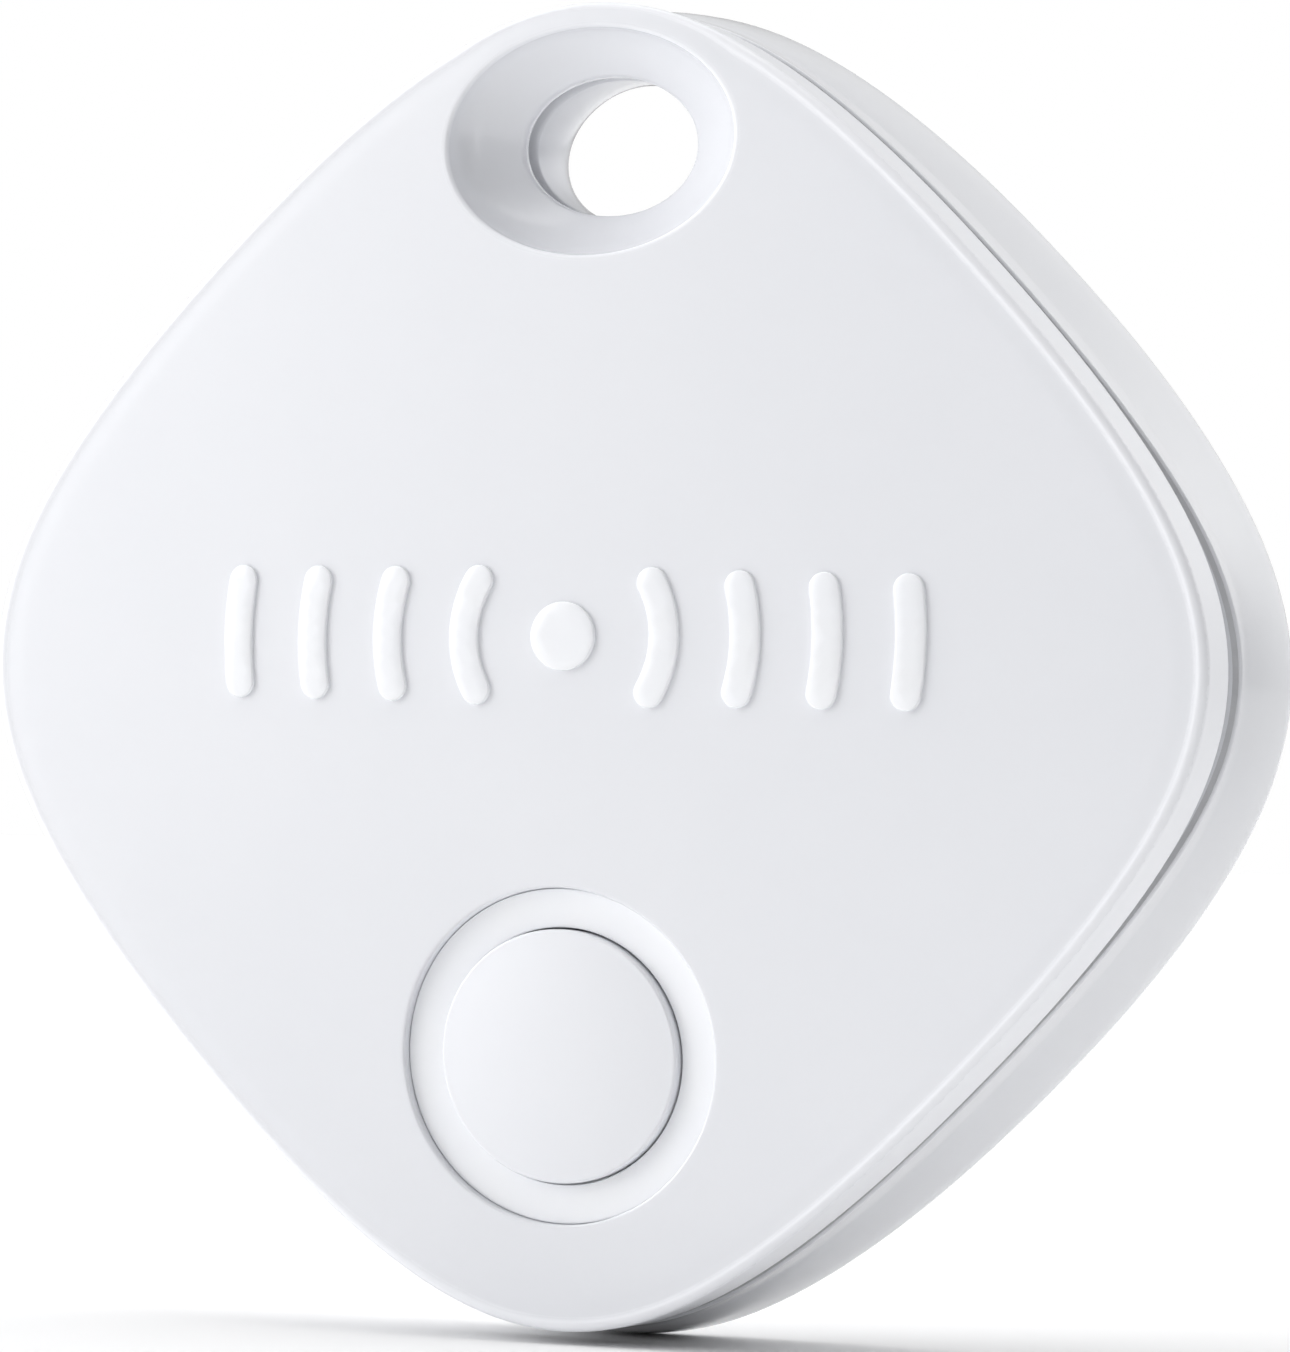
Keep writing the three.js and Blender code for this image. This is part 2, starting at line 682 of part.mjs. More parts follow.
function cellTray() {
  const front = BOARD_BACK + FIT;
  const hoop = solid(placed(disc(TRAY_OUTER, front, TRAY_BACK, 48), 0, CELL_Z));
  const ears = fourPlaces.flatMap(([x, z]) => {
    const eye = solid(placed(disc(EAR_R, front, EAR_BACK, 24), x, z));
    const reach = new THREE.BoxGeometry(4, EAR_BACK - front, 2 * EAR_R);
    reach.translate(-1.6, (front + EAR_BACK) / 2, 0).rotateY(-Math.atan2(z - CELL_Z, x));
    return [eye, solid(placed(reach, x, z))];
  });
  const through = [front - BEYOND, TRAY_BACK + BEYOND];
  const holes = fourPlaces.map(([x, z]) => solid(placed(disc(EAR_HOLE_R, ...through, 16), x, z)));
  const bore = solid(placed(disc(TRAY_INNER, ...through, 48), 0, CELL_Z));
  const clipGap = solid(block(6, CLIP_WIDTH + 0.8, ...through, TRAY_OUTER + 0.8, CELL_Z));
  const nailNotch = solid(block(6, 5, 5, TRAY_BACK + BEYOND, -TRAY_OUTER - 0.8, CELL_Z));
  addSolid("cell_tray", cut(joined(hoop, ...ears), bore, clipGap, nailNotch, ...holes), NATURAL_PLASTIC());
}

function screws() {
  const headFront = EAR_BACK + FIT;
  const headBack = headFront + SCREW_HEAD_DEPTH;
  const profile = [
    [0, SCREW_TIP],
    [SCREW_R / 2, SCREW_TIP],
    [SCREW_R, SCREW_TIP + SCREW_POINT],
    [SCREW_R, headFront],
    [SCREW_HEAD_R, headFront],
    [SCREW_HEAD_R, headFront + SCREW_HEAD_DEPTH / 2],
    [SCREW_HEAD_TOP_R, headBack],
    [0, headBack],
  ];
  fourPlaces.forEach(([x, z], i) => {
    const arm = [headBack - SCREW_CROSS_DEPTH, headBack + BEYOND];
    const slots = [
      solid(block(SCREW_CROSS, SCREW_CROSS_WIDTH, ...arm, x, z)),
      solid(block(SCREW_CROSS_WIDTH, SCREW_CROSS, ...arm, x, z)),
    ];
    const shank = solid(placed(turned(profile, 20), x, z));
    addSolid(`case_screw_${i + 1}`, cut(shank, ...slots), STEEL());
  });
}

function foamPad() {
  const pad = ring(FOAM_INNER, FOAM_OUTER, CELL_BACK + 2 * FIT, TAG_DEPTH - REAR_WALL - FIT);
  addPart("foam_pad", placed(pad, 0, CELL_Z), BLACK_PLASTIC());
}

// ---------------------------------------------------------------- assembly

addSolid("front_shell", frontShell(), SATIN_WHITE());
addSolid("rear_shell", rearShell(), GLOSS_WHITE());
seals();
button();
board();
boardParts();
sounder();
coinCell();
cellContacts();
cellTray();
screws();
foamPad();

const tag = new THREE.Group();
parts.position.set(0, -TAG_DEPTH / 2, -HOLE_Z);
tag.add(parts);

export default tag;
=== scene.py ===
import json
import math

import bmesh
import bpy
from mathutils import Matrix, Vector, geometry


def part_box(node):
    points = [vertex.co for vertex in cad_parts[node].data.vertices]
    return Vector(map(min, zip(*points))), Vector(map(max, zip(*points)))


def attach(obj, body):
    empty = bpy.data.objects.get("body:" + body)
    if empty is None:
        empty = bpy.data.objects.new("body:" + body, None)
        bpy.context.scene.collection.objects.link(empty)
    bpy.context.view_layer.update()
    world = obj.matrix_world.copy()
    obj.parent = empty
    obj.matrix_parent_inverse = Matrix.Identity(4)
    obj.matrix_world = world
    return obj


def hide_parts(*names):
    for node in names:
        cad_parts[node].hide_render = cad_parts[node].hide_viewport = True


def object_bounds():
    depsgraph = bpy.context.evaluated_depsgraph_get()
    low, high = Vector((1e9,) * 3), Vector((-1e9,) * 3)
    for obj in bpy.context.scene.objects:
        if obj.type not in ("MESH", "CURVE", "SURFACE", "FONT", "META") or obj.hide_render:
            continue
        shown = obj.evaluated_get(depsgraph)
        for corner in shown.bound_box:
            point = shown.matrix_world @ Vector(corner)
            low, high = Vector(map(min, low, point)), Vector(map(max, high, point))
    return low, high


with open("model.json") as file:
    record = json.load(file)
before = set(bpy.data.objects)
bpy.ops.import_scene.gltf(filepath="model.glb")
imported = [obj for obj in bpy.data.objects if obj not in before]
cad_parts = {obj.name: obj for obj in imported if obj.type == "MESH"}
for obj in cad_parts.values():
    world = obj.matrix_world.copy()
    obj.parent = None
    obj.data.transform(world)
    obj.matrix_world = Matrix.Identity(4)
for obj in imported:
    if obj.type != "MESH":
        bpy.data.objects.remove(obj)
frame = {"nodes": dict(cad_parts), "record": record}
CAD_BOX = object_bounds()

# Lengths below are millimetres in the tag's own coordinates: X to the right, Z up from the tag's middle,
# Y from the middle of the domed face towards the back. The frame puts the origin in the key ring hole.
MM = 0.001
HOLE_Z = 16.0
FACE_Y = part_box("front_shell")[0][1] / MM  # the frame's Y at the middle of the face

# ---------------------------------------------------------------- driving dimensions

# The case's outlines, its face and its walls.
CASE_RADIUS = 18.78
FRONT_LOBES = {2: 0.006, 4: 0.0665, 8: 0.007, 12: 0.001}
REAR_LOBES = {2: 0.001, 4: 0.0585, 8: 0.006, 12: 0.001}
TAG_DEPTH = 8.5
FACE_CROWN = 1.2  # how far the face falls back at CROWN_REACH from its middle
CROWN_REACH = 20.0
PARTING_FRONT = 3.3  # the groove lies between the two shells' parting depths
PARTING_REAR = 3.6
FRONT_WALL = 1.3
REAR_WALL = 1.1
CEILING = 1.2
CEILING_CROWN = 0.6

# The face's edge: a shallow hollow, a ridge, and the round over to the side wall.
EDGE_ROUND = 0.26
EDGE_HOLLOW = 0.022
EDGE_HOLLOW_REACH = (0.65, 0.18)  # its inner slope and its outer slope
EDGE_CLEAR = 0.05  # face left between the edge and the key ring rim
RIM_MARGIN = 0.12  # face kept smooth round each rim in it
LIP_ROUND = 0.12

# The rear shell's neck in the groove, its shoulder, its flare and its tongue.
REAR_FLARE = 0.62
REAR_NECK = 0.55
BACK_ROUND = 0.9
SHOULDER_SIDE = 3.76  # the shoulder's depth along the sides
SHOULDER_CORNER = 4.5  # and at the corners
SHOULDER_OUT = 0.02
SHOULDER_ROUND = 0.1
SHOULDER_HOLLOW = 0.08
TONGUE_OUT = FRONT_WALL + 0.1
TONGUE_IN = 2.3
TONGUE_FRONT = 2.3
TONGUE_OPENING = math.radians(22.5)  # each way from the top corner, for the key ring tube
TONGUE_STATIONS = 240

# The key ring hole, an oval whose radii here are half its width, and the tube round it.
HOLE_ASPECT = 0.745
HOLE_RIM = 4.72
HOLE_THROAT = 2.9
HOLE_REAR_BORE = 2.9
HOLE_REAR_RIM = 4.0
HOLE_REAR_ROUND = 0.25
TUBE_WALL = 1.0
TUBE_FRONT_END = 2.9
THROAT_LAND = 0.35  # straight throat between the funnel and the tube's front end
RIM_ROUND = 0.14

# The seals, and a grey sheet in the groove that paints its shade.
SEAL_GAP = 0.02
TUBE_SEAL_INNER = 3.3
TUBE_SEAL_OUTER = 3.68
SHADE_SHEET = 0.03  # how thick it is
SHADE_SHEET_GAP = 0.005

# The button, its ring and its well.
BUTTON_Z = -11.9
BUTTON_RING_R = 5.1
BUTTON_CAP_R = 3.86
BUTTON_GAP = 0.06
BUTTON_RING_DEPTH = 0.32  # its outer edge below the face
BUTTON_RING_DISH = 0.1  # and its inner edge below that
BUTTON_RING_BACK = 0.95
BUTTON_PROUD = 0.24  # the cap's middle in front of the face
BUTTON_CROWN = 0.3
BUTTON_EDGE = 0.1
BUTTON_FLANGE_R = 4.3
BUTTON_FLANGE = 0.28
BUTTON_STEM_R = 1.0
BUTTON_STEM_END = 2.18
BUTTON_BOSS_R = 6.4
BUTTON_BOSS_BACK = 2.0
WELL_ROUND = 0.09
WELL_GAP = 0.02
COLLAR_GAP = 0.12

# The coin cell and the foam pad behind it.
CELL_Z = 0.4
CELL_R = 10.0
CELL_FRONT = 3.2
CELL_BACK = 6.4
CELL_GAP = 0.03  # between the can, the grommet and the cap
FOAM_HOLE_R = 2.6
FOAM_R = 7.2

# The raised mark.
MARK_Z = 0.85
MARK_DOT_R = 1.05
MARK_HALF_HEIGHT = 2.05
MARK_STROKE = 0.95
MARK_RISE = 0.13
MARK_BEVEL = 0.05
MARK_RADII = (3.3, 5.9, 8.5, 11.1)

# How finely the curves are divided.
CASE_POINTS = 288
HOLE_POINTS = 160
BUTTON_POINTS = 144
SHEET_SPACING = 0.85
GRID_CLEAR = 0.55  # of the spacing, between a sheet's inner points and its borders
SHEET_TOLERANCE = 1e-7
MERGE_DISTANCE = 1e-8  # metres

# ---------------------------------------------------------------- outlines


def lobe_factor(lobes, angle):
    """How far the outline stands out at an angle from the top corner, as a factor on its mean radius."""
    return 1 + sum(share * math.cos(count * angle) for count, share in lobes.items())


def angles(count):
    return [2 * math.pi * i / count for i in range(count)]


def case_loop(radius, lobes=FRONT_LOBES):
    """The case outline at a radius, as (x, z) points."""
    points = []
    for angle in angles(CASE_POINTS):
        reach = radius * lobe_factor(lobes, angle)
        points.append((reach * math.sin(angle), reach * math.cos(angle)))
    return points


def ray_to_oval(angle, half_width):
    """Where a ray from the tag's middle enters and leaves an oval round the key ring hole, or None."""
    half_height = half_width * HOLE_ASPECT
    a = (math.sin(angle) / half_width) ** 2 + (math.cos(angle) / half_height) ** 2
    b = -2 * math.cos(angle) * HOLE_Z / half_height**2
    c = (HOLE_Z / half_height) ** 2 - 1
    inside = b * b - 4 * a * c
    if inside <= 0 or math.cos(angle) <= 0:
        return None
    root = math.sqrt(inside)
    return (-b - root) / (2 * a), (-b + root) / (2 * a)


def edge_share(angle):
    """How much of the face's edge round is left beside the key ring rim."""
    crossing = ray_to_oval(angle, HOLE_RIM + RIM_ROUND + RIM_MARGIN)
    if crossing is None:
        return 1.0
    room = CASE_RADIUS - (crossing[1] + EDGE_CLEAR) / lobe_factor(FRONT_LOBES, angle)
    return min(1.0, room / (EDGE_ROUND + sum(EDGE_HOLLOW_REACH)))


def edge_loop(inset, rise):
    """A ring of the face's edge round, as (x, y, z) points."""
    points = []
    for angle in angles(CASE_POINTS):
        share = edge_share(angle)
        reach = (CASE_RADIUS - inset * share) * lobe_factor(FRONT_LOBES, angle)
        x, z = reach * math.sin(angle), reach * math.cos(angle)
        points.append((x, rise * share + crown(x, z), z))
    return points


def circle(radius, z, count=BUTTON_POINTS):
    return [(radius * math.sin(a), z + radius * math.cos(a)) for a in angles(count)]


def oval(half_width):
    """An oval round the key ring hole."""
    height = half_width * HOLE_ASPECT
    return [(half_width * math.sin(a), HOLE_Z + height * math.cos(a)) for a in angles(HOLE_POINTS)]


def crown(x, z, amount=FACE_CROWN):
    return amount * (x * x + z * z) / CROWN_REACH**2


def quarter(radius, steps):
    """(inset, rise) pairs round a quarter circle, from lying flat to standing up."""
    turns = [math.pi / 2 * i / steps for i in range(steps + 1)]
    return [(radius * (1 - math.sin(t)), radius * (1 - math.cos(t))) for t in turns]


# ---------------------------------------------------------------- meshes


def to_frame(point):
    x, y, z = point
    return Vector((x, y + FACE_Y, z - HOLE_Z)) * MM


class Skin:
    """The points and faces of one piece, in the tag's own millimetres."""

    def __init__(self):
        self.points = []
        self.faces = []

    def ring(self, points):
        """Adds a ring of (x, y, z) points and returns their numbers."""
        start = len(self.points)
        self.points += points
        return list(range(start, len(self.points)))

    def loop(self, outline, depth, crowned=0.0):
        """Adds an outline at a depth, which falls back with the face where it is crowned."""
        return self.ring([(x, depth + crown(x, z, crowned), z) for x, z in outline])

    def bridge(self, first, second):
        """Joins two rings with quads, or a ring and a single point with triangles."""
        if len(first) == len(second) == 1:
            return
        if len(first) == 1 or len(second) == 1:
            hub, rim = (first[0], second) if len(first) == 1 else (second[0], first)
            self.faces += [(index, rim[(i + 1) % len(rim)], hub) for i, index in enumerate(rim)]
            return
        count = len(first)
        for i in range(count):
            j = (i + 1) % count
            self.faces.append((first[i], first[j], second[j], second[i]))

    def chain(self, loops):
        for first, second in zip(loops, loops[1:]):
            self.bridge(first, second)

    def flat(self, index):
        x, _, z = self.points[index]
        return x, z

    def sheet(self, outer, holes, depth_at, spacing=SHEET_SPACING):
        """Fills the space between a loop and the loops inside it with small triangles."""
        borders = [[self.flat(i) for i in loop] for loop in [outer] + holes]
        inside = grid_inside(borders, spacing)
        ids = [i for loop in [outer] + holes for i in loop]
        ids += range(len(self.points), len(self.points) + len(inside))
        self.points += [(x, depth_at(x, z), z) for x, z in inside]
        edges = []
        start = 0
        for border in borders:
            count = len(border)
            edges += [(start + i, start + (i + 1) % count) for i in range(count)]
            start += count
        corners = [Vector(p) for border in borders for p in border] + [Vector(p) for p in inside]
        made = geometry.delaunay_2d_cdt(corners, edges, [], 0, SHEET_TOLERANCE)
        verts, _, triangles, origins, _, _ = made
        for triangle in triangles:
            middle = sum((verts[i] for i in triangle), Vector((0, 0))) / 3
            if within(middle, borders):
                self.faces.append(tuple(ids[origins[i][0]] for i in triangle))


def inside_loop(point, border):
    """Whether a ray from the point to the right crosses the border an odd number of times."""
    x, z = point
    odd = False
    for (x1, z1), (x2, z2) in zip(border, border[1:] + border[:1]):
        if (z1 > z) != (z2 > z) and x < (x2 - x1) * (z - z1) / (z2 - z1) + x1:
            odd = not odd
    return odd


def within(point, borders):
    if not inside_loop(point, borders[0]):
        return False
    return not any(inside_loop(point, hole) for hole in borders[1:])


def grid_inside(borders, spacing):
    """Points of a triangular grid that lie between the borders and clear of them."""
    xs = [x for x, _ in borders[0]]
    zs = [z for _, z in borders[0]]
    rim = [Vector(p) for border in borders for p in border]
    row_step = spacing * math.sqrt(3) / 2
    points = []
    for row in range(int((max(zs) - min(zs)) / row_step) + 1):
        z = min(zs) + row * row_step
        shift = spacing / 2 * (row % 2)
        for column in range(int((max(xs) - min(xs)) / spacing) + 1):
            point = (min(xs) + shift + column * spacing, z)
            if not within(point, borders):
                continue
            place = Vector(point)
            if min((place - other).length_squared for other in rim) > (GRID_CLEAR * spacing) ** 2:
                points.append(point)
    return points


def finish_mesh(name, points, faces, sharp_above=None, polish_and_highlight=None):
    """Makes an object, smooth but for edges sharper than an angle, with a value for each point that sets
    both its polish and its painted highlight.
    """
    mesh = bpy.data.meshes.new(name)
    mesh.from_pydata([to_frame(p) for p in points], [], faces)
    if polish_and_highlight is not None:
        mesh.attributes.new("polish_and_highlight", "FLOAT", "POINT").data.foreach_set("value", polish_and_highlight)
    bm = bmesh.new()
    bm.from_mesh(mesh)
    bmesh.ops.remove_doubles(bm, verts=bm.verts, dist=MERGE_DISTANCE)
    bmesh.ops.recalc_face_normals(bm, faces=bm.faces)
    bm.to_mesh(mesh)
    bm.free()
    mesh.shade_smooth()
    if sharp_above is not None:
        mesh.set_sharp_from_angle(angle=math.radians(sharp_above))
    piece = bpy.data.objects.new(name, mesh)
    bpy.context.scene.collection.objects.link(piece)
    return piece


def lathe(name, profile, z, count=BUTTON_POINTS, aspect=1.0, crowned=None, sharp_above=40):
    """A closed piece turned round an axis along Y at height z from a profile of (radius, depth) points.

    crowned(depth) says how much of the face's fall a point at that depth takes. A profile that doesn't
    start and end on the axis closes on itself.
    """
    skin = Skin()
    base = crown(0, z)
    loops = []
    for radius, depth in profile:
        share = crowned(depth) if crowned else 0.0
        around = angles(count) if radius else [0.0]
        ring = [(radius * math.sin(a), z + radius * aspect * math.cos(a)) for a in around]
        loops.append(skin.ring([(px, depth + share * (crown(px, pz) - base), pz) for px, pz in ring]))
    if profile[0][0] > 0:
        loops.append(loops[0])
    skin.chain(loops)
    return finish_mesh(name, skin.points, skin.faces, sharp_above)


def oblong(inner, outer, front, back):
    """The section of a flat ring, as a profile."""
    return [(inner, front), (outer, front), (outer, back), (inner, back)]


def rounded(profile, radius, steps=4):
    """The profile with each corner rounded, apart from those on the axis."""
    points = [Vector(p) for p in profile]
    closed = points[0].x > 0
    out = []
    count = len(points)
    for i, here in enumerate(points):
        if not closed and i in (0, count - 1):
            out.append(tuple(here))
            continue
        to_before = points[i - 1] - here
        to_after = points[(i + 1) % count] - here
        reach = min(radius, 0.45 * to_before.length, 0.45 * to_after.length)
        start = here + to_before.normalized() * reach
        end = here + to_after.normalized() * reach
        for step in range(steps + 1):
            t = step / steps
            out.append(tuple(start * (1 - t) ** 2 + here * 2 * t * (1 - t) + end * t**2))
    return out


def dress(piece, material, body, slot, *nodes):
    """Gives a piece its material, its body and the CAD nodes that it stands for; slot is not used."""
    piece.data.materials.clear()
    piece.data.materials.append(material)
    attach(piece, body)
    if nodes:
        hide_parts(*nodes)


# ---------------------------------------------------------------- materials

POLISH_FADE = (0.99, 1.02)  # where the key ring hole's polish ends, as a share of its rim


class Finish:
    """A Principled material whose bump, colour and roughness come from noise in the piece's own space."""

    def __init__(self, name, colour, roughness, metallic=0.0, specular=0.5, coat=0.0):
        self.material = bpy.data.materials.new(name)
        self.material.use_nodes = True
        self.nodes = self.material.node_tree.nodes
        self.links = self.material.node_tree.links
        self.shader = self.nodes["Principled BSDF"]
        self.shader.inputs["Metallic"].default_value = metallic
        self.shader.inputs["Specular IOR Level"].default_value = specular
        self.shader.inputs["Coat Weight"].default_value = coat
        self.shader.inputs["Base Color"].default_value = (*colour, 1)
        self.shader.inputs["Roughness"].default_value = roughness
        self.roughness = roughness
        self.coords = self.nodes.new("ShaderNodeTexCoord").outputs["Object"]
        self.height = None

    def noise(self, per_mm, stretch=(1, 1, 1), detail=3.0):
        """Noise with features of about 1 / per_mm millimetres, squeezed along each axis by stretch."""
        mapping = self.nodes.new("ShaderNodeMapping")
        mapping.inputs["Scale"].default_value = [s / MM for s in stretch]
        self.links.new(self.coords, mapping.inputs["Vector"])
        texture = self.nodes.new("ShaderNodeTexNoise")
        texture.inputs["Scale"].default_value = per_mm
        texture.inputs["Detail"].default_value = detail
        self.links.new(mapping.outputs["Vector"], texture.inputs["Vector"])
        return texture.outputs["Fac"]

    def ramp(self, value, low, high, out_low, out_high):
        """Maps a value from one range to another, held at its ends."""
        node = self.nodes.new("ShaderNodeMapRange")
        node.inputs["From Min"].default_value = low
        node.inputs["From Max"].default_value = high
        node.inputs["To Min"].default_value = out_low
        node.inputs["To Max"].default_value = out_high
        self.links.new(value, node.inputs["Value"])
        return node.outputs["Result"]

    def mix_in(self, name, value, share):
        """Mixes one of the shader's inputs towards a value."""
        source = self.shader.inputs[name]
        mix = self.nodes.new("ShaderNodeMix")
        mix.data_type = "RGBA" if source.type == "RGBA" else "FLOAT"
        if source.is_linked:
            self.links.new(source.links[0].from_socket, mix.inputs["A"])
        else:
            mix.inputs["A"].default_value = source.default_value
        mix.inputs["B"].default_value = value
        self.links.new(share, mix.inputs["Factor"])
        self.links.new(mix.outputs["Result"], source)

    def tint(self, value, other, low=0.35, high=0.65):
        """Mixes towards another colour where the value is high."""
        self.mix_in("Base Color", (*other, 1), self.ramp(value, low, high, 0, 1))

    def rough(self, value, spread, low=0.35, high=0.65):
        """Lets the roughness vary by spread either way."""
        level = self.ramp(value, low, high, self.roughness - spread, self.roughness + spread)
        self.links.new(level, self.shader.inputs["Roughness"])

    def polish_hole(self, roughness):
        """Takes the roughness down to a polish inside the key ring hole's rim."""
        half = HOLE_RIM + RIM_ROUND
        squash = self.nodes.new("ShaderNodeMapping")
        squash.inputs["Scale"].default_value = (1 / half / MM, 0, 1 / half / HOLE_ASPECT / MM)
        self.links.new(self.coords, squash.inputs["Vector"])
        reach = self.nodes.new("ShaderNodeVectorMath")
        reach.operation = "LENGTH"
        self.links.new(squash.outputs["Vector"], reach.inputs[0])
        self.mix_in("Roughness", roughness, self.ramp(reach.outputs["Value"], *POLISH_FADE, 1, 0))

    def polish_and_paint_highlight(self, colour, roughness):
        """Lightens the colour as a painted highlight, and smooths the surface, where the mesh's own
        attribute says so.
        """
        polish_and_highlight = self.nodes.new("ShaderNodeAttribute")
        polish_and_highlight.attribute_name = "polish_and_highlight"
        # Painted highlight: the colour goes lighter where the attribute is high.
        self.mix_in("Base Color", (*colour, 1), polish_and_highlight.outputs["Fac"])
        self.mix_in("Roughness", roughness, polish_and_highlight.outputs["Fac"])

    def bump(self, value, height_mm, strength):
        """Adds relief on top of the bumps so far."""
        node = self.nodes.new("ShaderNodeBump")
        node.inputs["Strength"].default_value = strength
        node.inputs["Distance"].default_value = height_mm * MM
        self.links.new(value, node.inputs["Height"])
        if self.height is not None:
            self.links.new(self.height, node.inputs["Normal"])
        self.height = node.outputs["Normal"]
        self.links.new(self.height, self.shader.inputs["Normal"])


def satin_white(name, colour, other):
    """Fine spark-eroded ABS with a faint horizontal grain, polished at its edges and lightened there with a
    painted highlight.
    """
    finish = Finish(name, colour, 0.34)
    grain = finish.noise(5.5, (1, 1, 1), 4)
    streaks = finish.noise(1.1, (0.35, 1, 5), 3)
    finish.tint(finish.noise(0.12, detail=2), other)
    finish.rough(streaks, 0.04)
    finish.polish_hole(0.13)
    # The lighter colour here is a painted highlight along the face's ridge and the funnel's rim.
    finish.polish_and_paint_highlight((0.93, 0.94, 0.975), 0.2)
    finish.bump(grain, 0.004, 0.35)
    finish.bump(streaks, 0.003, 0.25)
    return finish.material


def gloss_white():
    """Polished ABS with faint moulding ripples."""
    finish = Finish("gloss_white", (0.78, 0.79, 0.82), 0.09)
    ripple = finish.noise(0.16, detail=1.5)
    finish.tint(finish.noise(0.3, detail=4), (0.77, 0.78, 0.812))
    finish.rough(finish.noise(0.6, detail=5), 0.03)
    finish.bump(ripple, 0.05, 0.35)
    finish.bump(finish.noise(9, detail=2), 0.0008, 0.2)
    return finish.material


def bright_white():
    """The clear-coated insert round the button and the raised mark."""
    finish = Finish("bright_white", (0.955, 0.965, 0.99), 0.08, coat=0.4)
    finish.tint(finish.noise(0.4, detail=3), (0.945, 0.957, 0.99))
    finish.rough(finish.noise(1.5, detail=4), 0.02)
    finish.bump(finish.noise(0.5, detail=1), 0.006, 0.3)
    return finish.material


def moulded(name, colour, other, roughness, mottle, wear, grain, specular=0.5):
    """Plastic, rubber or ceramic with a fine grain.

    mottle is noise as (per_mm, detail), wear adds how far the roughness varies, and grain adds the
    bump's height in millimetres and its strength.
    """
    finish = Finish(name, colour, roughness, specular=specular)
    finish.tint(finish.noise(mottle[0], detail=mottle[1]), other)
    finish.rough(finish.noise(wear[0], detail=wear[1]), wear[2])
    finish.bump(finish.noise(grain[0], detail=grain[1]), grain[2], grain[3])
    return finish.material


def foam_black():
    """Open-celled foam."""
    finish = Finish("foam_black", (0.03, 0.03, 0.033), 0.9, specular=0.2)
    cells = finish.nodes.new("ShaderNodeTexVoronoi")
    cells.inputs["Scale"].default_value = 5200
    finish.links.new(finish.coords, cells.inputs["Vector"])
    finish.tint(cells.outputs["Distance"], (0.07, 0.07, 0.075), 0.1, 0.6)
    finish.bump(cells.outputs["Distance"], 0.05, 0.8)
    return finish.material


def board_green():
    """Solder mask over woven glass."""
    finish = Finish("board_green", (0.018, 0.13, 0.055), 0.32, coat=0.3)
    weave = finish.noise(2.2, (6, 1, 1), 2)
    weft = finish.noise(2.2, (1, 1, 6), 2)
    finish.tint(weave, (0.025, 0.16, 0.07))
    finish.tint(weft, (0.014, 0.11, 0.048), 0.5, 0.7)
    finish.rough(finish.noise(3, detail=3), 0.05)
    finish.bump(weave, 0.008, 0.4)
    return finish.material


def ceramic(name, colour, other):
    return moulded(name, colour, other, 0.55, (5, 5), (4, 3, 0.08), (10, 4, 0.006, 0.5))


def plated(name, colour, other, roughness, grain):
    """Bare or plated metal with a drawn grain."""
    finish = Finish(name, colour, roughness, metallic=1.0)
    lines = finish.noise(2, grain, 4)
    finish.tint(finish.noise(0.5, detail=4), other)
    finish.rough(lines, 0.07)
    finish.bump(lines, 0.003, 0.35)
    return finish.material


def spun_steel():
    """Nickel-plated steel with fine rings round the cell's axis."""
    finish = Finish("cell_steel", (0.72, 0.72, 0.735), 0.28, metallic=1.0)
    mapping = finish.nodes.new("ShaderNodeMapping")
    mapping.inputs["Location"].default_value = (0, 0, (HOLE_Z - CELL_Z) * MM)
    finish.links.new(finish.coords, mapping.inputs["Vector"])
    rings = finish.nodes.new("ShaderNodeTexWave")
    rings.wave_type = "RINGS"
    rings.rings_direction = "Y"
    rings.inputs["Scale"].default_value = 1900
    rings.inputs["Distortion"].default_value = 0.6
    finish.links.new(mapping.outputs["Vector"], rings.inputs["Vector"])
    finish.tint(finish.noise(0.35, detail=5), (0.66, 0.665, 0.69))
    finish.rough(finish.noise(0.8, detail=5), 0.07)
    finish.bump(rings.outputs["Fac"], 0.002, 0.3)
    return finish.material


SATIN_WHITE = satin_white("satin_white", (0.84, 0.85, 0.885), (0.83, 0.841, 0.877))
CAP_WHITE = satin_white("cap_white", (0.885, 0.895, 0.93), (0.875, 0.886, 0.922))
GLOSS_WHITE = gloss_white()
BRIGHT_WHITE = bright_white()
SEAL_AND_SHADE_GREY = moulded(
    "seal_grey", (0.58, 0.585, 0.60), (0.54, 0.545, 0.56), 0.75,
    (1.5, 5), (3, 4, 0.08), (12, 3, 0.006, 0.5), specular=0.3,
)
NATURAL_PLASTIC = moulded(
    "natural_plastic", (0.70, 0.68, 0.61), (0.66, 0.64, 0.57), 0.5,
    (0.4, 4), (2, 4, 0.08), (8, 3, 0.005, 0.4),
)
BLACK_PLASTIC = moulded(
    "black_plastic", (0.022, 0.023, 0.026), (0.035, 0.036, 0.04), 0.5,
    (4, 5), (3, 4, 0.1), (14, 4, 0.008, 0.6),
)
FOAM_BLACK = foam_black()
BOARD_GREEN = board_green()
CERAMIC_WHITE = ceramic("ceramic_white", (0.82, 0.81, 0.77), (0.76, 0.75, 0.71))
CERAMIC_TAN = ceramic("ceramic_tan", (0.40, 0.27, 0.16), (0.34, 0.22, 0.13))
STEEL = plated("steel", (0.66, 0.67, 0.68), (0.60, 0.61, 0.63), 0.3, (1, 1, 8))
CELL_STEEL = spun_steel()
BRASS = plated("brass", (0.74, 0.53, 0.22), (0.66, 0.46, 0.18), 0.3, (1, 1, 6))
GOLD_PLATE = plated("gold_plate", (0.86, 0.64, 0.28), (0.80, 0.58, 0.24), 0.25, (6, 1, 1))

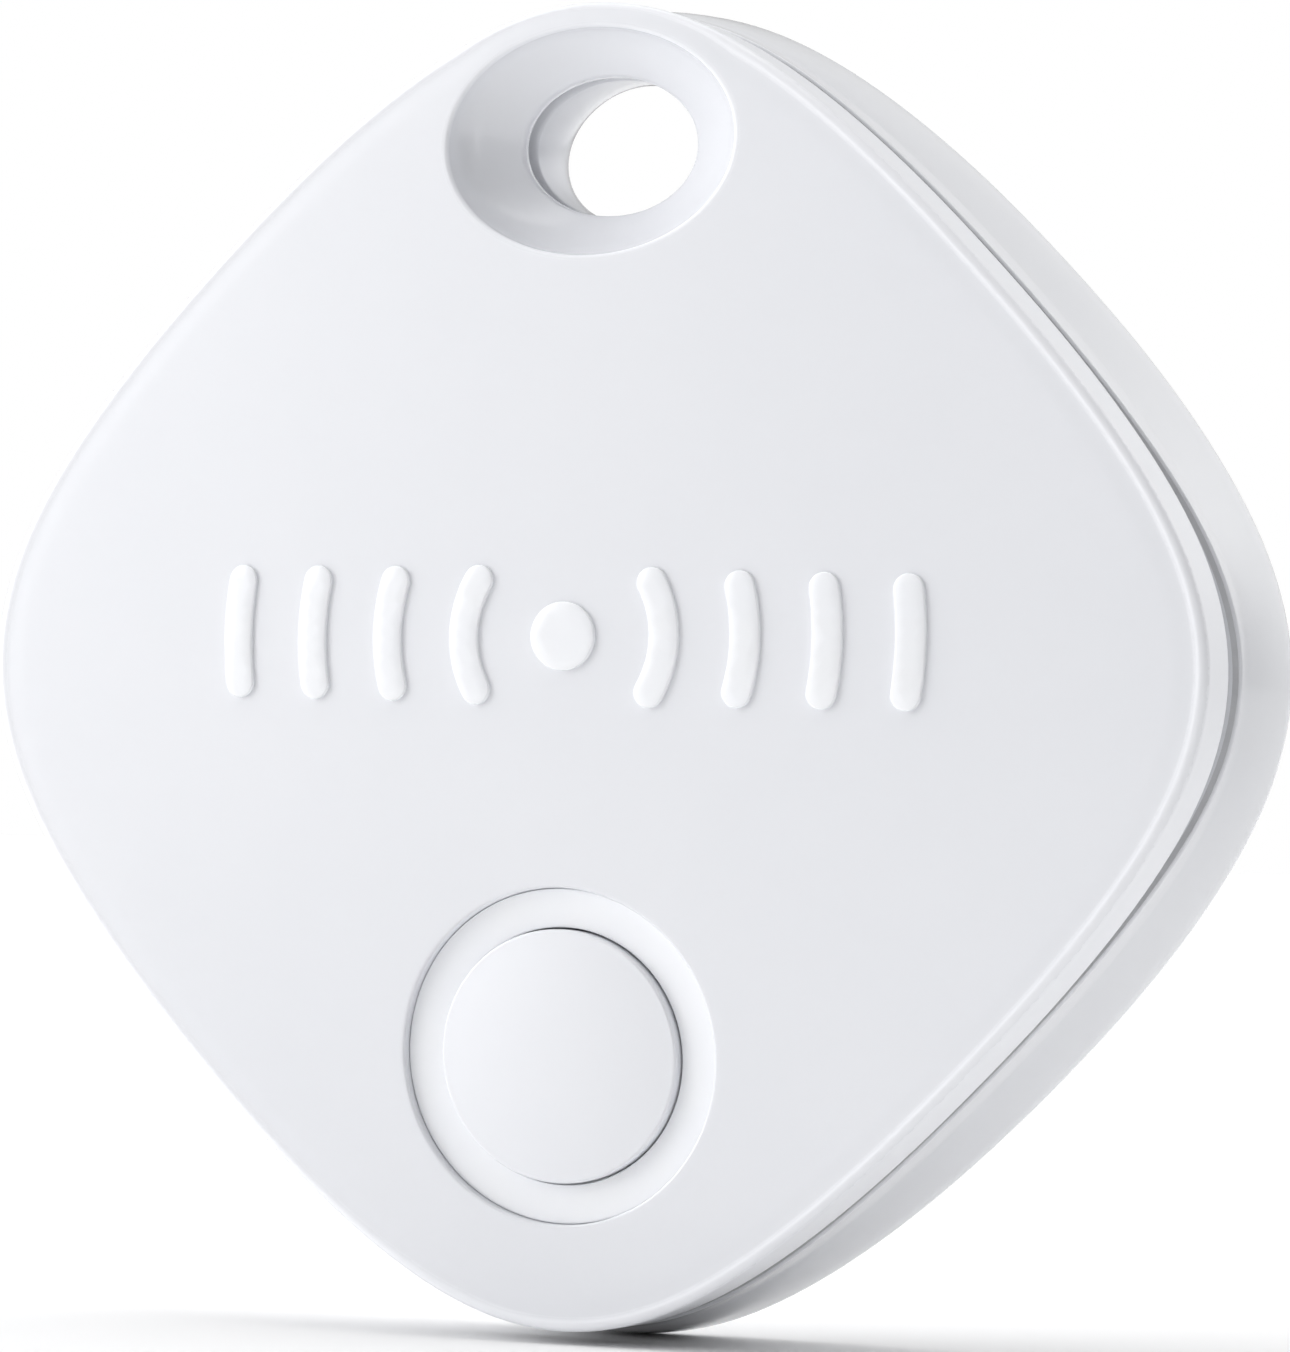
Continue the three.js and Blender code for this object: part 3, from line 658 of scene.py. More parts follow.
SLOT_MATERIALS = {
    "satin_white": SATIN_WHITE,
    "gloss_white": GLOSS_WHITE,
    "bright_white": BRIGHT_WHITE,
    "seal_grey": SEAL_AND_SHADE_GREY,
    "natural_plastic": NATURAL_PLASTIC,
    "black_plastic": BLACK_PLASTIC,
    "adhesive": BLACK_PLASTIC,
    "foam_black": FOAM_BLACK,
    "board_green": BOARD_GREEN,
    "ceramic_white": CERAMIC_WHITE,
    "ceramic_tan": CERAMIC_TAN,
    "steel": STEEL,
    "cell_steel": CELL_STEEL,
    "brass": BRASS,
    "gold_plate": GOLD_PLATE,
}


# ---------------------------------------------------------------- CAD nodes that stay

SMOOTH_DEGREES = 32
BEVEL_WIDTH = 0.04
BEVEL_WIDTHS = {"cell_tray": 0.12, "radio_chip": 0.05, "chip_antenna": 0.07, "circuit_board": 0.05}
REBUILT_NODES = (
    "front_shell", "rear_shell", "perimeter_gasket", "keyring_tube_gasket", "button_ring", "button_cap",
    "coin_cell_can", "coin_cell_cap", "coin_cell_grommet", "foam_pad",
)


def smooth_by_angle(degrees):
    """A modifier's node group that shades faces smooth and keeps edges sharper than an angle."""
    group = bpy.data.node_groups.new("smooth_by_angle", "GeometryNodeTree")
    group.interface.new_socket("Geometry", in_out="INPUT", socket_type="NodeSocketGeometry")
    group.interface.new_socket("Geometry", in_out="OUTPUT", socket_type="NodeSocketGeometry")
    entry = group.nodes.new("NodeGroupInput")
    leave = group.nodes.new("NodeGroupOutput")
    faces = group.nodes.new("GeometryNodeSetShadeSmooth")
    edges = group.nodes.new("GeometryNodeSetShadeSmooth")
    edges.domain = "EDGE"
    edges.inputs["Shade Smooth"].default_value = False
    turn = group.nodes.new("GeometryNodeInputMeshEdgeAngle")
    sharp = group.nodes.new("FunctionNodeCompare")
    sharp.operation = "GREATER_THAN"
    sharp.inputs["B"].default_value = math.radians(degrees)
    group.links.new(turn.outputs["Unsigned Angle"], sharp.inputs["A"])
    group.links.new(sharp.outputs["Result"], edges.inputs["Selection"])
    group.links.new(entry.outputs["Geometry"], faces.inputs["Geometry"])
    group.links.new(faces.outputs["Geometry"], edges.inputs["Geometry"])
    group.links.new(edges.outputs["Geometry"], leave.inputs["Geometry"])
    return group


def finish_cad_nodes():
    """Every CAD node that stays takes its slot's material, small bevels and smooth shading."""
    shading = smooth_by_angle(SMOOTH_DEGREES)
    for entry in frame["record"]["subparts"]:
        node = frame["nodes"][entry["node"]]
        node.data.materials.clear()
        node.data.materials.append(SLOT_MATERIALS[entry["material_slot"]])
        if entry["node"] in REBUILT_NODES:
            continue
        bevel = node.modifiers.new("edges", "BEVEL")
        bevel.width = BEVEL_WIDTHS.get(entry["node"], BEVEL_WIDTH) * MM
        bevel.segments = 3
        bevel.limit_method = "ANGLE"
        bevel.angle_limit = math.radians(SMOOTH_DEGREES)
        smooth = node.modifiers.new("shading", "NODES")
        smooth.node_group = shading


# ---------------------------------------------------------------- shapes both shells use


def cavity_loop(radius, lobes, tube):
    """The inside of a shell's wall, which steps round the key ring tube."""
    points = []
    for angle in angles(CASE_POINTS):
        reach = radius * lobe_factor(lobes, angle)
        crossing = ray_to_oval(angle, tube)
        if crossing is not None:
            reach = min(reach, crossing[0])
        points.append((reach * math.sin(angle), reach * math.cos(angle)))
    return points


def smoothstep(share):
    return share * share * (3 - 2 * share)


# ---------------------------------------------------------------- front shell


def funnel_depth(share):
    """How far in the funnel's wall has come, from 0 at the rim to 1 at the throat."""
    return 0.05 * share + 0.95 * (1 - math.cos(share * math.pi / 2))


def face_edge(skin):
    """The rings from the face out over the ridge and down the side wall, and those of the ridge."""
    inner_slope, outer_slope = EDGE_HOLLOW_REACH
    hollow = []
    steps = 8
    for step in range(steps):
        share = step / steps
        inset = EDGE_ROUND + outer_slope + inner_slope * (1 - share)
        hollow.append(skin.ring(edge_loop(inset, EDGE_HOLLOW * smoothstep(share))))
    ridge = []
    steps = 6
    for step in range(steps):
        share = step / steps
        inset = EDGE_ROUND + outer_slope * (1 - share)
        ridge.append(skin.ring(edge_loop(inset, EDGE_HOLLOW * (1 - share**1.5))))
    for inset, rise in quarter(EDGE_ROUND, 12):
        ridge.append(skin.ring(edge_loop(inset, rise)))
    wall = [skin.ring(edge_loop(0, EDGE_ROUND + 0.12))]
    wall.append(skin.loop(case_loop(CASE_RADIUS), PARTING_FRONT - LIP_ROUND - 0.1))
    for inset, rise in reversed(quarter(LIP_ROUND, 4)):
        wall.append(skin.loop(case_loop(CASE_RADIUS - inset), PARTING_FRONT - rise))
    wall.append(skin.loop(case_loop(CASE_RADIUS - LIP_ROUND - 0.08), PARTING_FRONT))
    return hollow + ridge + wall, ridge


def key_ring_funnel(skin):
    """The rings from the face in to the key ring tube's front end."""
    rings = [skin.loop(oval(HOLE_RIM + RIM_ROUND + RIM_MARGIN), 0, FACE_CROWN)]
    for inset, rise in quarter(RIM_ROUND, 5)[:-1]:
        rings.append(skin.loop(oval(HOLE_RIM + inset), rise, FACE_CROWN))
    mouth = crown(0, HOLE_Z) + RIM_ROUND
    bowl_end = TUBE_FRONT_END - THROAT_LAND
    steps = 26
    for step in range(steps + 1):
        share = step / steps
        radius = HOLE_RIM + (HOLE_THROAT - HOLE_RIM) * funnel_depth(share)
        fall = FACE_CROWN * (1 - share) ** 2
        level = mouth + (bowl_end - mouth) * share
        settled = crown(0, HOLE_Z) * (1 - share) ** 2
        rings.append(skin.loop(oval(radius), level - settled, fall))
    for radius, depth in (
        (HOLE_THROAT - 0.03, bowl_end + 0.1),
        (HOLE_THROAT - 0.03, TUBE_FRONT_END - 0.1),
        (HOLE_THROAT, TUBE_FRONT_END - 0.02),
        (HOLE_THROAT + 0.08, TUBE_FRONT_END),
    ):
        rings.append(skin.loop(oval(radius), depth))
    return rings


def button_well(skin):
    """The rings from the face in to the ceiling round the button's collar."""
    shelf = crown(0, BUTTON_Z) + BUTTON_RING_BACK + WELL_GAP
    well_r = BUTTON_RING_R + WELL_GAP
    bore_r = BUTTON_FLANGE_R + COLLAR_GAP
    rings = [skin.loop(circle(well_r + WELL_ROUND + RIM_MARGIN, BUTTON_Z), 0, FACE_CROWN)]
    for inset, rise in quarter(WELL_ROUND, 4):
        rings.append(skin.loop(circle(well_r + inset, BUTTON_Z), rise, FACE_CROWN))
    for radius, depth in (
        (well_r, shelf - 0.05),
        (well_r - 0.04, shelf),
        (bore_r + 0.04, shelf),
        (bore_r, shelf + 0.05),
        (bore_r, BUTTON_BOSS_BACK - 0.06),
        (bore_r + 0.06, BUTTON_BOSS_BACK),
        (BUTTON_BOSS_R - 0.1, BUTTON_BOSS_BACK),
        (BUTTON_BOSS_R, BUTTON_BOSS_BACK - 0.1),
    ):
        rings.append(skin.loop(circle(radius, BUTTON_Z), depth))
    rings.append(skin.loop(circle(BUTTON_BOSS_R, BUTTON_Z), CEILING, CEILING_CROWN))
    return rings


def front_cavity(skin):
    """The rings from the parting face up the inside wall to the ceiling."""
    wall = CASE_RADIUS - FRONT_WALL
    tube = HOLE_RIM + 0.2
    rings = []
    for inset, clear, depth, crowned in (
        (0, 0, PARTING_FRONT, 0),
        (0, 0, PARTING_FRONT - 0.3, 0),
        (0, 0.4, CEILING + 0.4, CEILING_CROWN),
        (0.12, 0.5, CEILING + 0.12, CEILING_CROWN),
        (0.4, 0.7, CEILING, CEILING_CROWN),
    ):
        rings.append(skin.loop(cavity_loop(wall - inset, FRONT_LOBES, tube + clear), depth, crowned))
    return rings


def front_shell():
    skin = Skin()
    edge, ridge = face_edge(skin)
    funnel = key_ring_funnel(skin)
    well = button_well(skin)
    cavity = front_cavity(skin)
    for rings in (edge, funnel, well, cavity):
        skin.chain(rings)
    skin.sheet(edge[0], [funnel[0], well[0]], crown)
    skin.sheet(edge[-1], [cavity[0], funnel[-1]], lambda x, z: PARTING_FRONT, 0.6)
    skin.sheet(cavity[-1], [well[-1]], lambda x, z: CEILING + crown(x, z, CEILING_CROWN), 1.2)

    # The ridge is polished and given a painted highlight, less towards its two sides, and the funnel's rim
    # half as much.
    polish_and_highlight = [0.0] * len(skin.points)
    for number, ring in enumerate(ridge):
        for index in ring:
            polish_and_highlight[index] = min(1.0, number / 5, (len(ridge) - 1 - number) / 8)
    for ring in funnel[1:6]:
        for index in ring:
            polish_and_highlight[index] = 0.5
    shell = finish_mesh("front_shell_skin", skin.points, skin.faces, 60, polish_and_highlight)
    dress(shell, SATIN_WHITE, "front_case", "satin_white", "front_shell")


# ---------------------------------------------------------------- rear shell


def mixed_lobes(share):
    """The outline on the way from the front shell's lobes to the rear shell's own."""
    return {count: FRONT_LOBES[count] * (1 - share) + REAR_LOBES[count] * share for count in FRONT_LOBES}


def shoulder_loop(radius, rise):
    """A ring at the rear shell's shoulder, which sits deeper at the corners than along the sides."""
    points = []
    for angle in angles(CASE_POINTS):
        reach = radius * lobe_factor(FRONT_LOBES, angle)
        corner = math.cos(2 * angle) ** 4
        depth = SHOULDER_SIDE + (SHOULDER_CORNER - SHOULDER_SIDE) * corner + rise
        points.append((reach * math.sin(angle), depth, reach * math.cos(angle)))
    return points


def rear_side(skin):
    """The rings from the parting face over the groove, the shoulder and the flare to the back."""
    widest = CASE_RADIUS + REAR_FLARE
    bend = TAG_DEPTH - BACK_ROUND
    neck = CASE_RADIUS - REAR_NECK
    rings = []
    for inset, drop in ((0.25, 0), (0.1, 0), (0.03, 0.03), (0, 0.1)):
        rings.append(skin.loop(case_loop(neck - inset), PARTING_REAR + drop))
    for inset, rise in reversed(quarter(SHOULDER_HOLLOW, 4)):
        rings.append(skin.ring(shoulder_loop(neck + inset, rise - SHOULDER_HOLLOW)))
    brim = CASE_RADIUS + SHOULDER_OUT
    rings.append(skin.ring(shoulder_loop(brim - SHOULDER_ROUND - 0.04, 0)))
    for inset, rise in quarter(SHOULDER_ROUND, 8):
        rings.append(skin.ring(shoulder_loop(brim - inset, rise)))
    start = SHOULDER_CORNER + SHOULDER_ROUND + 0.05
    steps = 24
    for step in range(1, steps + 1):
        share = step / steps
        radius = brim + (widest - brim) * (1 - (1 - share) ** 1.5)
        outline = case_loop(radius, mixed_lobes(smoothstep(share)))
        rings.append(skin.loop(outline, start + (bend - start) * share))
    for inset, rise in reversed(quarter(BACK_ROUND, 12)[:-1]):
        rings.append(skin.loop(case_loop(widest - inset, REAR_LOBES), TAG_DEPTH - rise))
    rings.append(skin.loop(case_loop(widest - BACK_ROUND - 0.3, REAR_LOBES), TAG_DEPTH))
    return rings


def rear_bore(skin):
    """The rings from the tube's front end through the key ring hole to its rim in the back."""
    rings = [skin.loop(oval(HOLE_REAR_BORE + 0.22), PARTING_REAR)]
    for inset, rise in quarter(0.1, 3):
        rings.append(skin.loop(oval(HOLE_REAR_BORE + inset), PARTING_REAR + rise))
    start = PARTING_REAR + 1.0
    end = TAG_DEPTH - HOLE_REAR_ROUND
    steps = 14
    for step in range(steps + 1):
        share = step / steps
        radius = HOLE_REAR_BORE + (HOLE_REAR_RIM - HOLE_REAR_BORE - 0.1) * share**2
        rings.append(skin.loop(oval(radius), start + (end - start) * share))
    for inset, rise in reversed(quarter(HOLE_REAR_ROUND, 5)[:-1]):
        rings.append(skin.loop(oval(HOLE_REAR_RIM - 0.1 + inset), TAG_DEPTH - rise))
    rings.append(skin.loop(oval(HOLE_REAR_RIM + HOLE_REAR_ROUND + 0.1), TAG_DEPTH))
    return rings


def rear_cavity(skin, floor_depth):
    """The rings from the parting face down the inside wall to the floor."""
    wall = CASE_RADIUS - TONGUE_IN
    tube = HOLE_REAR_BORE + TUBE_WALL - 0.2
    flared = HOLE_REAR_RIM + TUBE_WALL
    rings = []
    for radius, lobes, clear, depth in (
        (wall, FRONT_LOBES, tube, PARTING_REAR),
        (wall, FRONT_LOBES, tube, PARTING_REAR + 0.2),
        (wall + 0.2, REAR_LOBES, flared - 0.1, floor_depth - 0.6),
        (wall + 0.05, REAR_LOBES, flared, floor_depth - 0.15),
        (wall - 0.35, REAR_LOBES, flared + 0.3, floor_depth),
    ):
        rings.append(skin.loop(cavity_loop(radius, lobes, clear), depth))
    return rings


def rear_shell():
    skin = Skin()
    floor_depth = TAG_DEPTH - REAR_WALL
    side = rear_side(skin)
    bore = rear_bore(skin)
    cavity = rear_cavity(skin, floor_depth)
    for rings in (side, bore, cavity):
        skin.chain(rings)
    skin.sheet(side[0], [cavity[0], bore[0]], lambda x, z: PARTING_REAR, 0.6)
    skin.sheet(side[-1], [bore[-1]], lambda x, z: TAG_DEPTH)
    skin.sheet(cavity[-1], [], lambda x, z: floor_depth, 1.4)
    shell = finish_mesh("rear_shell_skin", skin.points, skin.faces, 60)
    dress(shell, GLOSS_WHITE, "rear_cover", "gloss_white", "rear_shell")
    dress(rear_tongue(), GLOSS_WHITE, "rear_cover", "gloss_white")


def rear_tongue():
    """The wall that slips inside the front shell, open round the key ring tube."""
    section = rounded(
        [
            (CASE_RADIUS - TONGUE_IN, TONGUE_FRONT),
            (CASE_RADIUS - TONGUE_OUT - 0.1, TONGUE_FRONT),
            (CASE_RADIUS - TONGUE_OUT, TONGUE_FRONT + 0.4),
            (CASE_RADIUS - TONGUE_OUT, PARTING_REAR + 0.1),
            (CASE_RADIUS - TONGUE_IN, PARTING_REAR + 0.1),
        ],
        0.12,
    )
    points = []
    faces = []
    count = len(section)
    for station in range(TONGUE_STATIONS + 1):
        angle = TONGUE_OPENING + (2 * math.pi - 2 * TONGUE_OPENING) * station / TONGUE_STATIONS
        factor = lobe_factor(FRONT_LOBES, angle)
        for radius, depth in section:
            points.append((radius * factor * math.sin(angle), depth, radius * factor * math.cos(angle)))
    for station in range(TONGUE_STATIONS):
        here = station * count
        for i in range(count):
            j = (i + 1) % count
            faces.append((here + i, here + j, here + count + j, here + count + i))
    faces.append(tuple(range(count)))
    faces.append(tuple(range(TONGUE_STATIONS * count, (TONGUE_STATIONS + 1) * count)))
    return finish_mesh("rear_shell_tongue", points, faces, 40)


# ---------------------------------------------------------------- seals


def perimeter_seal():
    inner = CASE_RADIUS - TONGUE_OUT + 0.05
    outer = CASE_RADIUS - REAR_NECK - 0.12
    section = rounded(oblong(inner, outer, PARTING_FRONT + SEAL_GAP, PARTING_REAR - SEAL_GAP), 0.1)
    skin = Skin()
    rings = [skin.loop(case_loop(radius), depth) for radius, depth in section]
    skin.chain(rings + [rings[0]])
    seal = finish_mesh("perimeter_seal", skin.points, skin.faces)
    dress(seal, SEAL_AND_SHADE_GREY, "rear_cover", "seal_grey", "perimeter_gasket")


def groove_shade_sheet():
    """A thin grey skin on the rear shell's neck and shoulder: painted shade that darkens the groove."""
    neck = CASE_RADIUS - REAR_NECK
    brim = CASE_RADIUS + SHOULDER_OUT - SHOULDER_ROUND
    front = PARTING_REAR + 0.03
    skin = Skin()
    rings = [skin.loop(case_loop(neck + SHADE_SHEET_GAP), front), skin.loop(case_loop(neck + SHADE_SHEET), front)]
    for radius, rise in (
        (neck + SHOULDER_HOLLOW + SHADE_SHEET, -SHADE_SHEET),
        (brim, -SHADE_SHEET),
        (brim, -SHADE_SHEET_GAP),
        (neck + SHOULDER_HOLLOW, -SHADE_SHEET_GAP),
        (neck + SHADE_SHEET_GAP, -SHOULDER_HOLLOW - SHADE_SHEET_GAP),
    ):
        rings.append(skin.ring(shoulder_loop(radius, rise)))
    skin.chain(rings + [rings[0]])
    lining = finish_mesh("groove_shade_sheet", skin.points, skin.faces, 40)
    # The seal grey on this sheet is painted shade in the groove.
    dress(lining, SEAL_AND_SHADE_GREY, "rear_cover", "seal_grey")


def tube_seal():
    front = TUBE_FRONT_END + SEAL_GAP
    section = rounded(oblong(TUBE_SEAL_INNER, TUBE_SEAL_OUTER, front, PARTING_REAR - SEAL_GAP), 0.12)
    seal = lathe("tube_seal", section, HOLE_Z, HOLE_POINTS, HOLE_ASPECT)
    dress(seal, SEAL_AND_SHADE_GREY, "rear_cover", "seal_grey", "keyring_tube_gasket")


# ---------------------------------------------------------------- button


def button():
    face = crown(0, BUTTON_Z)
    inner = BUTTON_CAP_R + BUTTON_GAP
    ring_back = face + BUTTON_RING_BACK
    ring_front = face + BUTTON_RING_DEPTH

    def follows_face(depth):
        return 1.0 if depth < ring_back - 0.1 else 0.0

    ring_profile = rounded(
        [
            (inner, ring_front + BUTTON_RING_DISH),
            (BUTTON_RING_R, ring_front),
            (BUTTON_RING_R, ring_back),
            (inner, ring_back),
        ],
        0.06,
    )
    ring = lathe("button_bezel", ring_profile, BUTTON_Z, crowned=follows_face, sharp_above=50)
    dress(ring, BRIGHT_WHITE, "front_case", "bright_white", "button_ring")

    # The cap from its middle over the edge, down to the flange, and in to the stem's end.
    middle = face - BUTTON_PROUD
    profile = [(0.0, middle)]
    steps = 14
    for step in range(1, steps + 1):
        radius = (BUTTON_CAP_R - BUTTON_EDGE) * step / steps
        profile.append((radius, middle + BUTTON_CROWN * (radius / BUTTON_CAP_R) ** 2))
    shoulder = profile[-1][1]
    for inset, rise in quarter(BUTTON_EDGE, 8)[1:]:
        profile.append((BUTTON_CAP_R - inset, shoulder + rise))
    flange = ring_back + 0.04
    back = flange + BUTTON_FLANGE
    profile += [
        (BUTTON_CAP_R, flange - 0.1),
        (BUTTON_CAP_R, flange),
        (BUTTON_FLANGE_R - 0.05, flange),
        (BUTTON_FLANGE_R, flange + 0.05),
        (BUTTON_FLANGE_R, back - 0.05),
        (BUTTON_FLANGE_R - 0.05, back),
        (BUTTON_STEM_R + 0.05, back),
        (BUTTON_STEM_R, back + 0.05),
        (BUTTON_STEM_R, BUTTON_STEM_END - 0.05),
        (BUTTON_STEM_R - 0.05, BUTTON_STEM_END),
        (0.0, BUTTON_STEM_END),
    ]
    cap = lathe("button_cap_skin", profile, BUTTON_Z, crowned=follows_face, sharp_above=50)
    dress(cap, CAP_WHITE, "button", "satin_white", "button_cap")


# ---------------------------------------------------------------- coin cell and foam pad


def coin_cell():
    rim = CELL_FRONT + 0.12
    inside = CELL_BACK - 0.3
    panel = CELL_BACK - 0.04
    can_profile = rounded(
        [
            (CELL_R - 0.3, rim),
            (CELL_R - 0.1, rim),
            (CELL_R, rim + 0.22),
            (CELL_R, inside),
            (CELL_R - 0.3, CELL_BACK),
            (CELL_R - 2.0, CELL_BACK),
            (CELL_R - 2.15, panel),
            (0, panel),
            (0, inside),
            (CELL_R - 0.3, inside),
        ],
        0.2,
        6,
    )
    can = lathe("cell_can_skin", can_profile, CELL_Z, sharp_above=50)
    dress(can, CELL_STEEL, "cell", "cell_steel", "coin_cell_can")

    cup_r = CELL_R - 0.9
    cup_back = inside - CELL_GAP
    cup_profile = rounded(
        [
            (0, CELL_FRONT),
            (cup_r - 0.6, CELL_FRONT),
            (cup_r, CELL_FRONT + 0.3),
            (cup_r, cup_back),
            (0, cup_back),
        ],
        0.25,
        6,
    )
    cup = lathe("cell_cap_skin", cup_profile, CELL_Z, sharp_above=50)
    dress(cup, CELL_STEEL, "cell", "cell_steel", "coin_cell_cap")

    sleeve = oblong(cup_r + CELL_GAP, CELL_R - 0.3 - CELL_GAP, rim - 0.06, cup_back)
    grommet = lathe("cell_grommet_skin", rounded(sleeve, 0.1), CELL_Z)
    dress(grommet, BLACK_PLASTIC, "cell", "black_plastic", "coin_cell_grommet")


def foam_pad():
    profile = rounded(oblong(FOAM_HOLE_R, FOAM_R, CELL_BACK + 0.04, TAG_DEPTH - REAR_WALL - 0.02), 0.12)
    pad = lathe("foam_pad_skin", profile, CELL_Z)
    dress(pad, FOAM_BLACK, "rear_cover", "foam_black", "foam_pad")


# ---------------------------------------------------------------- raised mark


def raised_pad(name, outline):
    """A low flat-topped pad on the domed face. outline(grow) gives its outline, grown by a length."""
    skin = Skin()
    loops = []
    for grow, rise in (
        (0.0, -0.1),
        (0.0, MARK_RISE - MARK_BEVEL),
        (-0.3 * MARK_BEVEL, MARK_RISE - 0.3 * MARK_BEVEL),
        (-MARK_BEVEL, MARK_RISE),
    ):
        loops.append(skin.ring([(x, crown(x, z) - rise, z) for x, z in outline(grow)]))
    skin.chain(loops)
    skin.sheet(loops[-1], [], lambda x, z: crown(x, z) - MARK_RISE, 0.3)
    skin.sheet(loops[0], [], lambda x, z: crown(x, z) + 0.1, 0.6)
    pad = finish_mesh(name, skin.points, skin.faces, 60)
    dress(pad, BRIGHT_WHITE, "front_case", "bright_white")


def arc_outline(radius, side):
    """An arc with round ends, centred on the mark, as a function of how much it grows."""
    half_turn = math.asin(MARK_HALF_HEIGHT / radius) - MARK_STROKE / 2 / radius

    def outline(grow):
        width = MARK_STROKE / 2 + grow
        steps = 28
        turns = [-half_turn + 2 * half_turn * i / steps for i in range(steps + 1)]
        cap = [math.pi / 2 * i / 5 for i in range(1, 10)]
        points = [(radius + width, turn, 0.0) for turn in turns]
        points += [(radius + width * math.cos(t), half_turn, width * math.sin(t)) for t in cap]
        points += [(radius - width, -turn, 0.0) for turn in turns]
        points += [(radius - width * math.cos(t), -half_turn, -width * math.sin(t)) for t in cap]
        out = []
        for reach, turn, along in points:
            x = reach * math.cos(turn) - along * math.sin(turn)
            z = reach * math.sin(turn) + along * math.cos(turn)
            out.append((side * x, MARK_Z + z))
        return out

    return outline


def raised_mark():
    """A generic sound-wave mark: a dot between growing arcs."""
    raised_pad("face_mark_dot", lambda grow: circle(MARK_DOT_R + grow, MARK_Z, 64))
    for number, radius in enumerate(MARK_RADII, 1):
        for side, word in ((-1, "left"), (1, "right")):
            raised_pad(f"face_mark_{word}_{number}", arc_outline(radius, side))


# ---------------------------------------------------------------- studio

CAMERA_TURN = math.radians(22.61)
CAMERA_TILT = math.radians(-1.32)
CAMERA_ROLL = math.radians(1.66)
CAMERA_DISTANCE = 197.0
PICTURE_HEIGHT = 1352.0  # pixels
FOCAL_PIXELS = 6500.0
AIM_ACROSS = -82.4 / FOCAL_PIXELS
AIM_DOWN = -12.0 / FOCAL_PIXELS
SENSOR = 36.0

FLOOR_REACH = 3.0  # metres each way
SKY_LEVEL = 0.05
SKY_SLOPE = (-0.33, 0.15, 0.3)
SOFTBOXES = (  # direction, tightness, radiance
    ((-0.811, -0.487, 0.324), 11.0, 4.7),
    ((0.584, 0.584, 0.565), 26.0, 2.0),
    ((0.40, 0.86, 0.32), 7.0, 1.3),
    ((0.0, 0.0, 1.0), 10.0, 2.9),
)
GLINT_PLACE = (0.23, -0.19, 0.01)  # metres
GLINT_AIM = (0.0, 0.0, -0.016)
GLINT_SIZE = (0.02, 0.16)
GLINT_POWER = 0.02


def camera():
    data = bpy.data.cameras.new("camera")
    data.sensor_width = SENSOR
    data.lens = FOCAL_PIXELS / PICTURE_HEIGHT * SENSOR
    data.clip_start = 0.01
    data.clip_end = 20
    forward = Vector((
        -math.sin(CAMERA_TURN) * math.cos(CAMERA_TILT),
        math.cos(CAMERA_TURN) * math.cos(CAMERA_TILT),
        -math.sin(CAMERA_TILT),
    ))
    level = Vector((math.cos(CAMERA_TURN), math.sin(CAMERA_TURN), 0))
    upright = level.cross(forward)
    right = level * math.cos(CAMERA_ROLL) + upright * math.sin(CAMERA_ROLL)
    up = upright * math.cos(CAMERA_ROLL) - level * math.sin(CAMERA_ROLL)
    place = (-forward - right * AIM_ACROSS + up * AIM_DOWN) * CAMERA_DISTANCE
    turned = Matrix((right, up, -forward)).transposed().to_4x4()
    seat = bpy.data.objects.new("camera", data)
    seat.matrix_world = Matrix.Translation(to_frame(place)) @ turned
    bpy.context.scene.collection.objects.link(seat)
    bpy.context.scene.camera = seat


def floor():
    low = CAD_BOX[0][2]
    mesh = bpy.data.meshes.new("floor")
    corners = [(x * FLOOR_REACH, y * FLOOR_REACH, low) for x, y in ((-1, -1), (1, -1), (1, 1), (-1, 1))]
    mesh.from_pydata(corners, [], [(0, 1, 2, 3)])
    plane = bpy.data.objects.new("floor", mesh)
    bpy.context.scene.collection.objects.link(plane)
    finish = Finish("floor", (0.93, 0.93, 0.93), 0.9, specular=0.0)
    finish.tint(finish.noise(0.02), (0.935, 0.935, 0.935))
    plane.data.materials.append(finish.material)


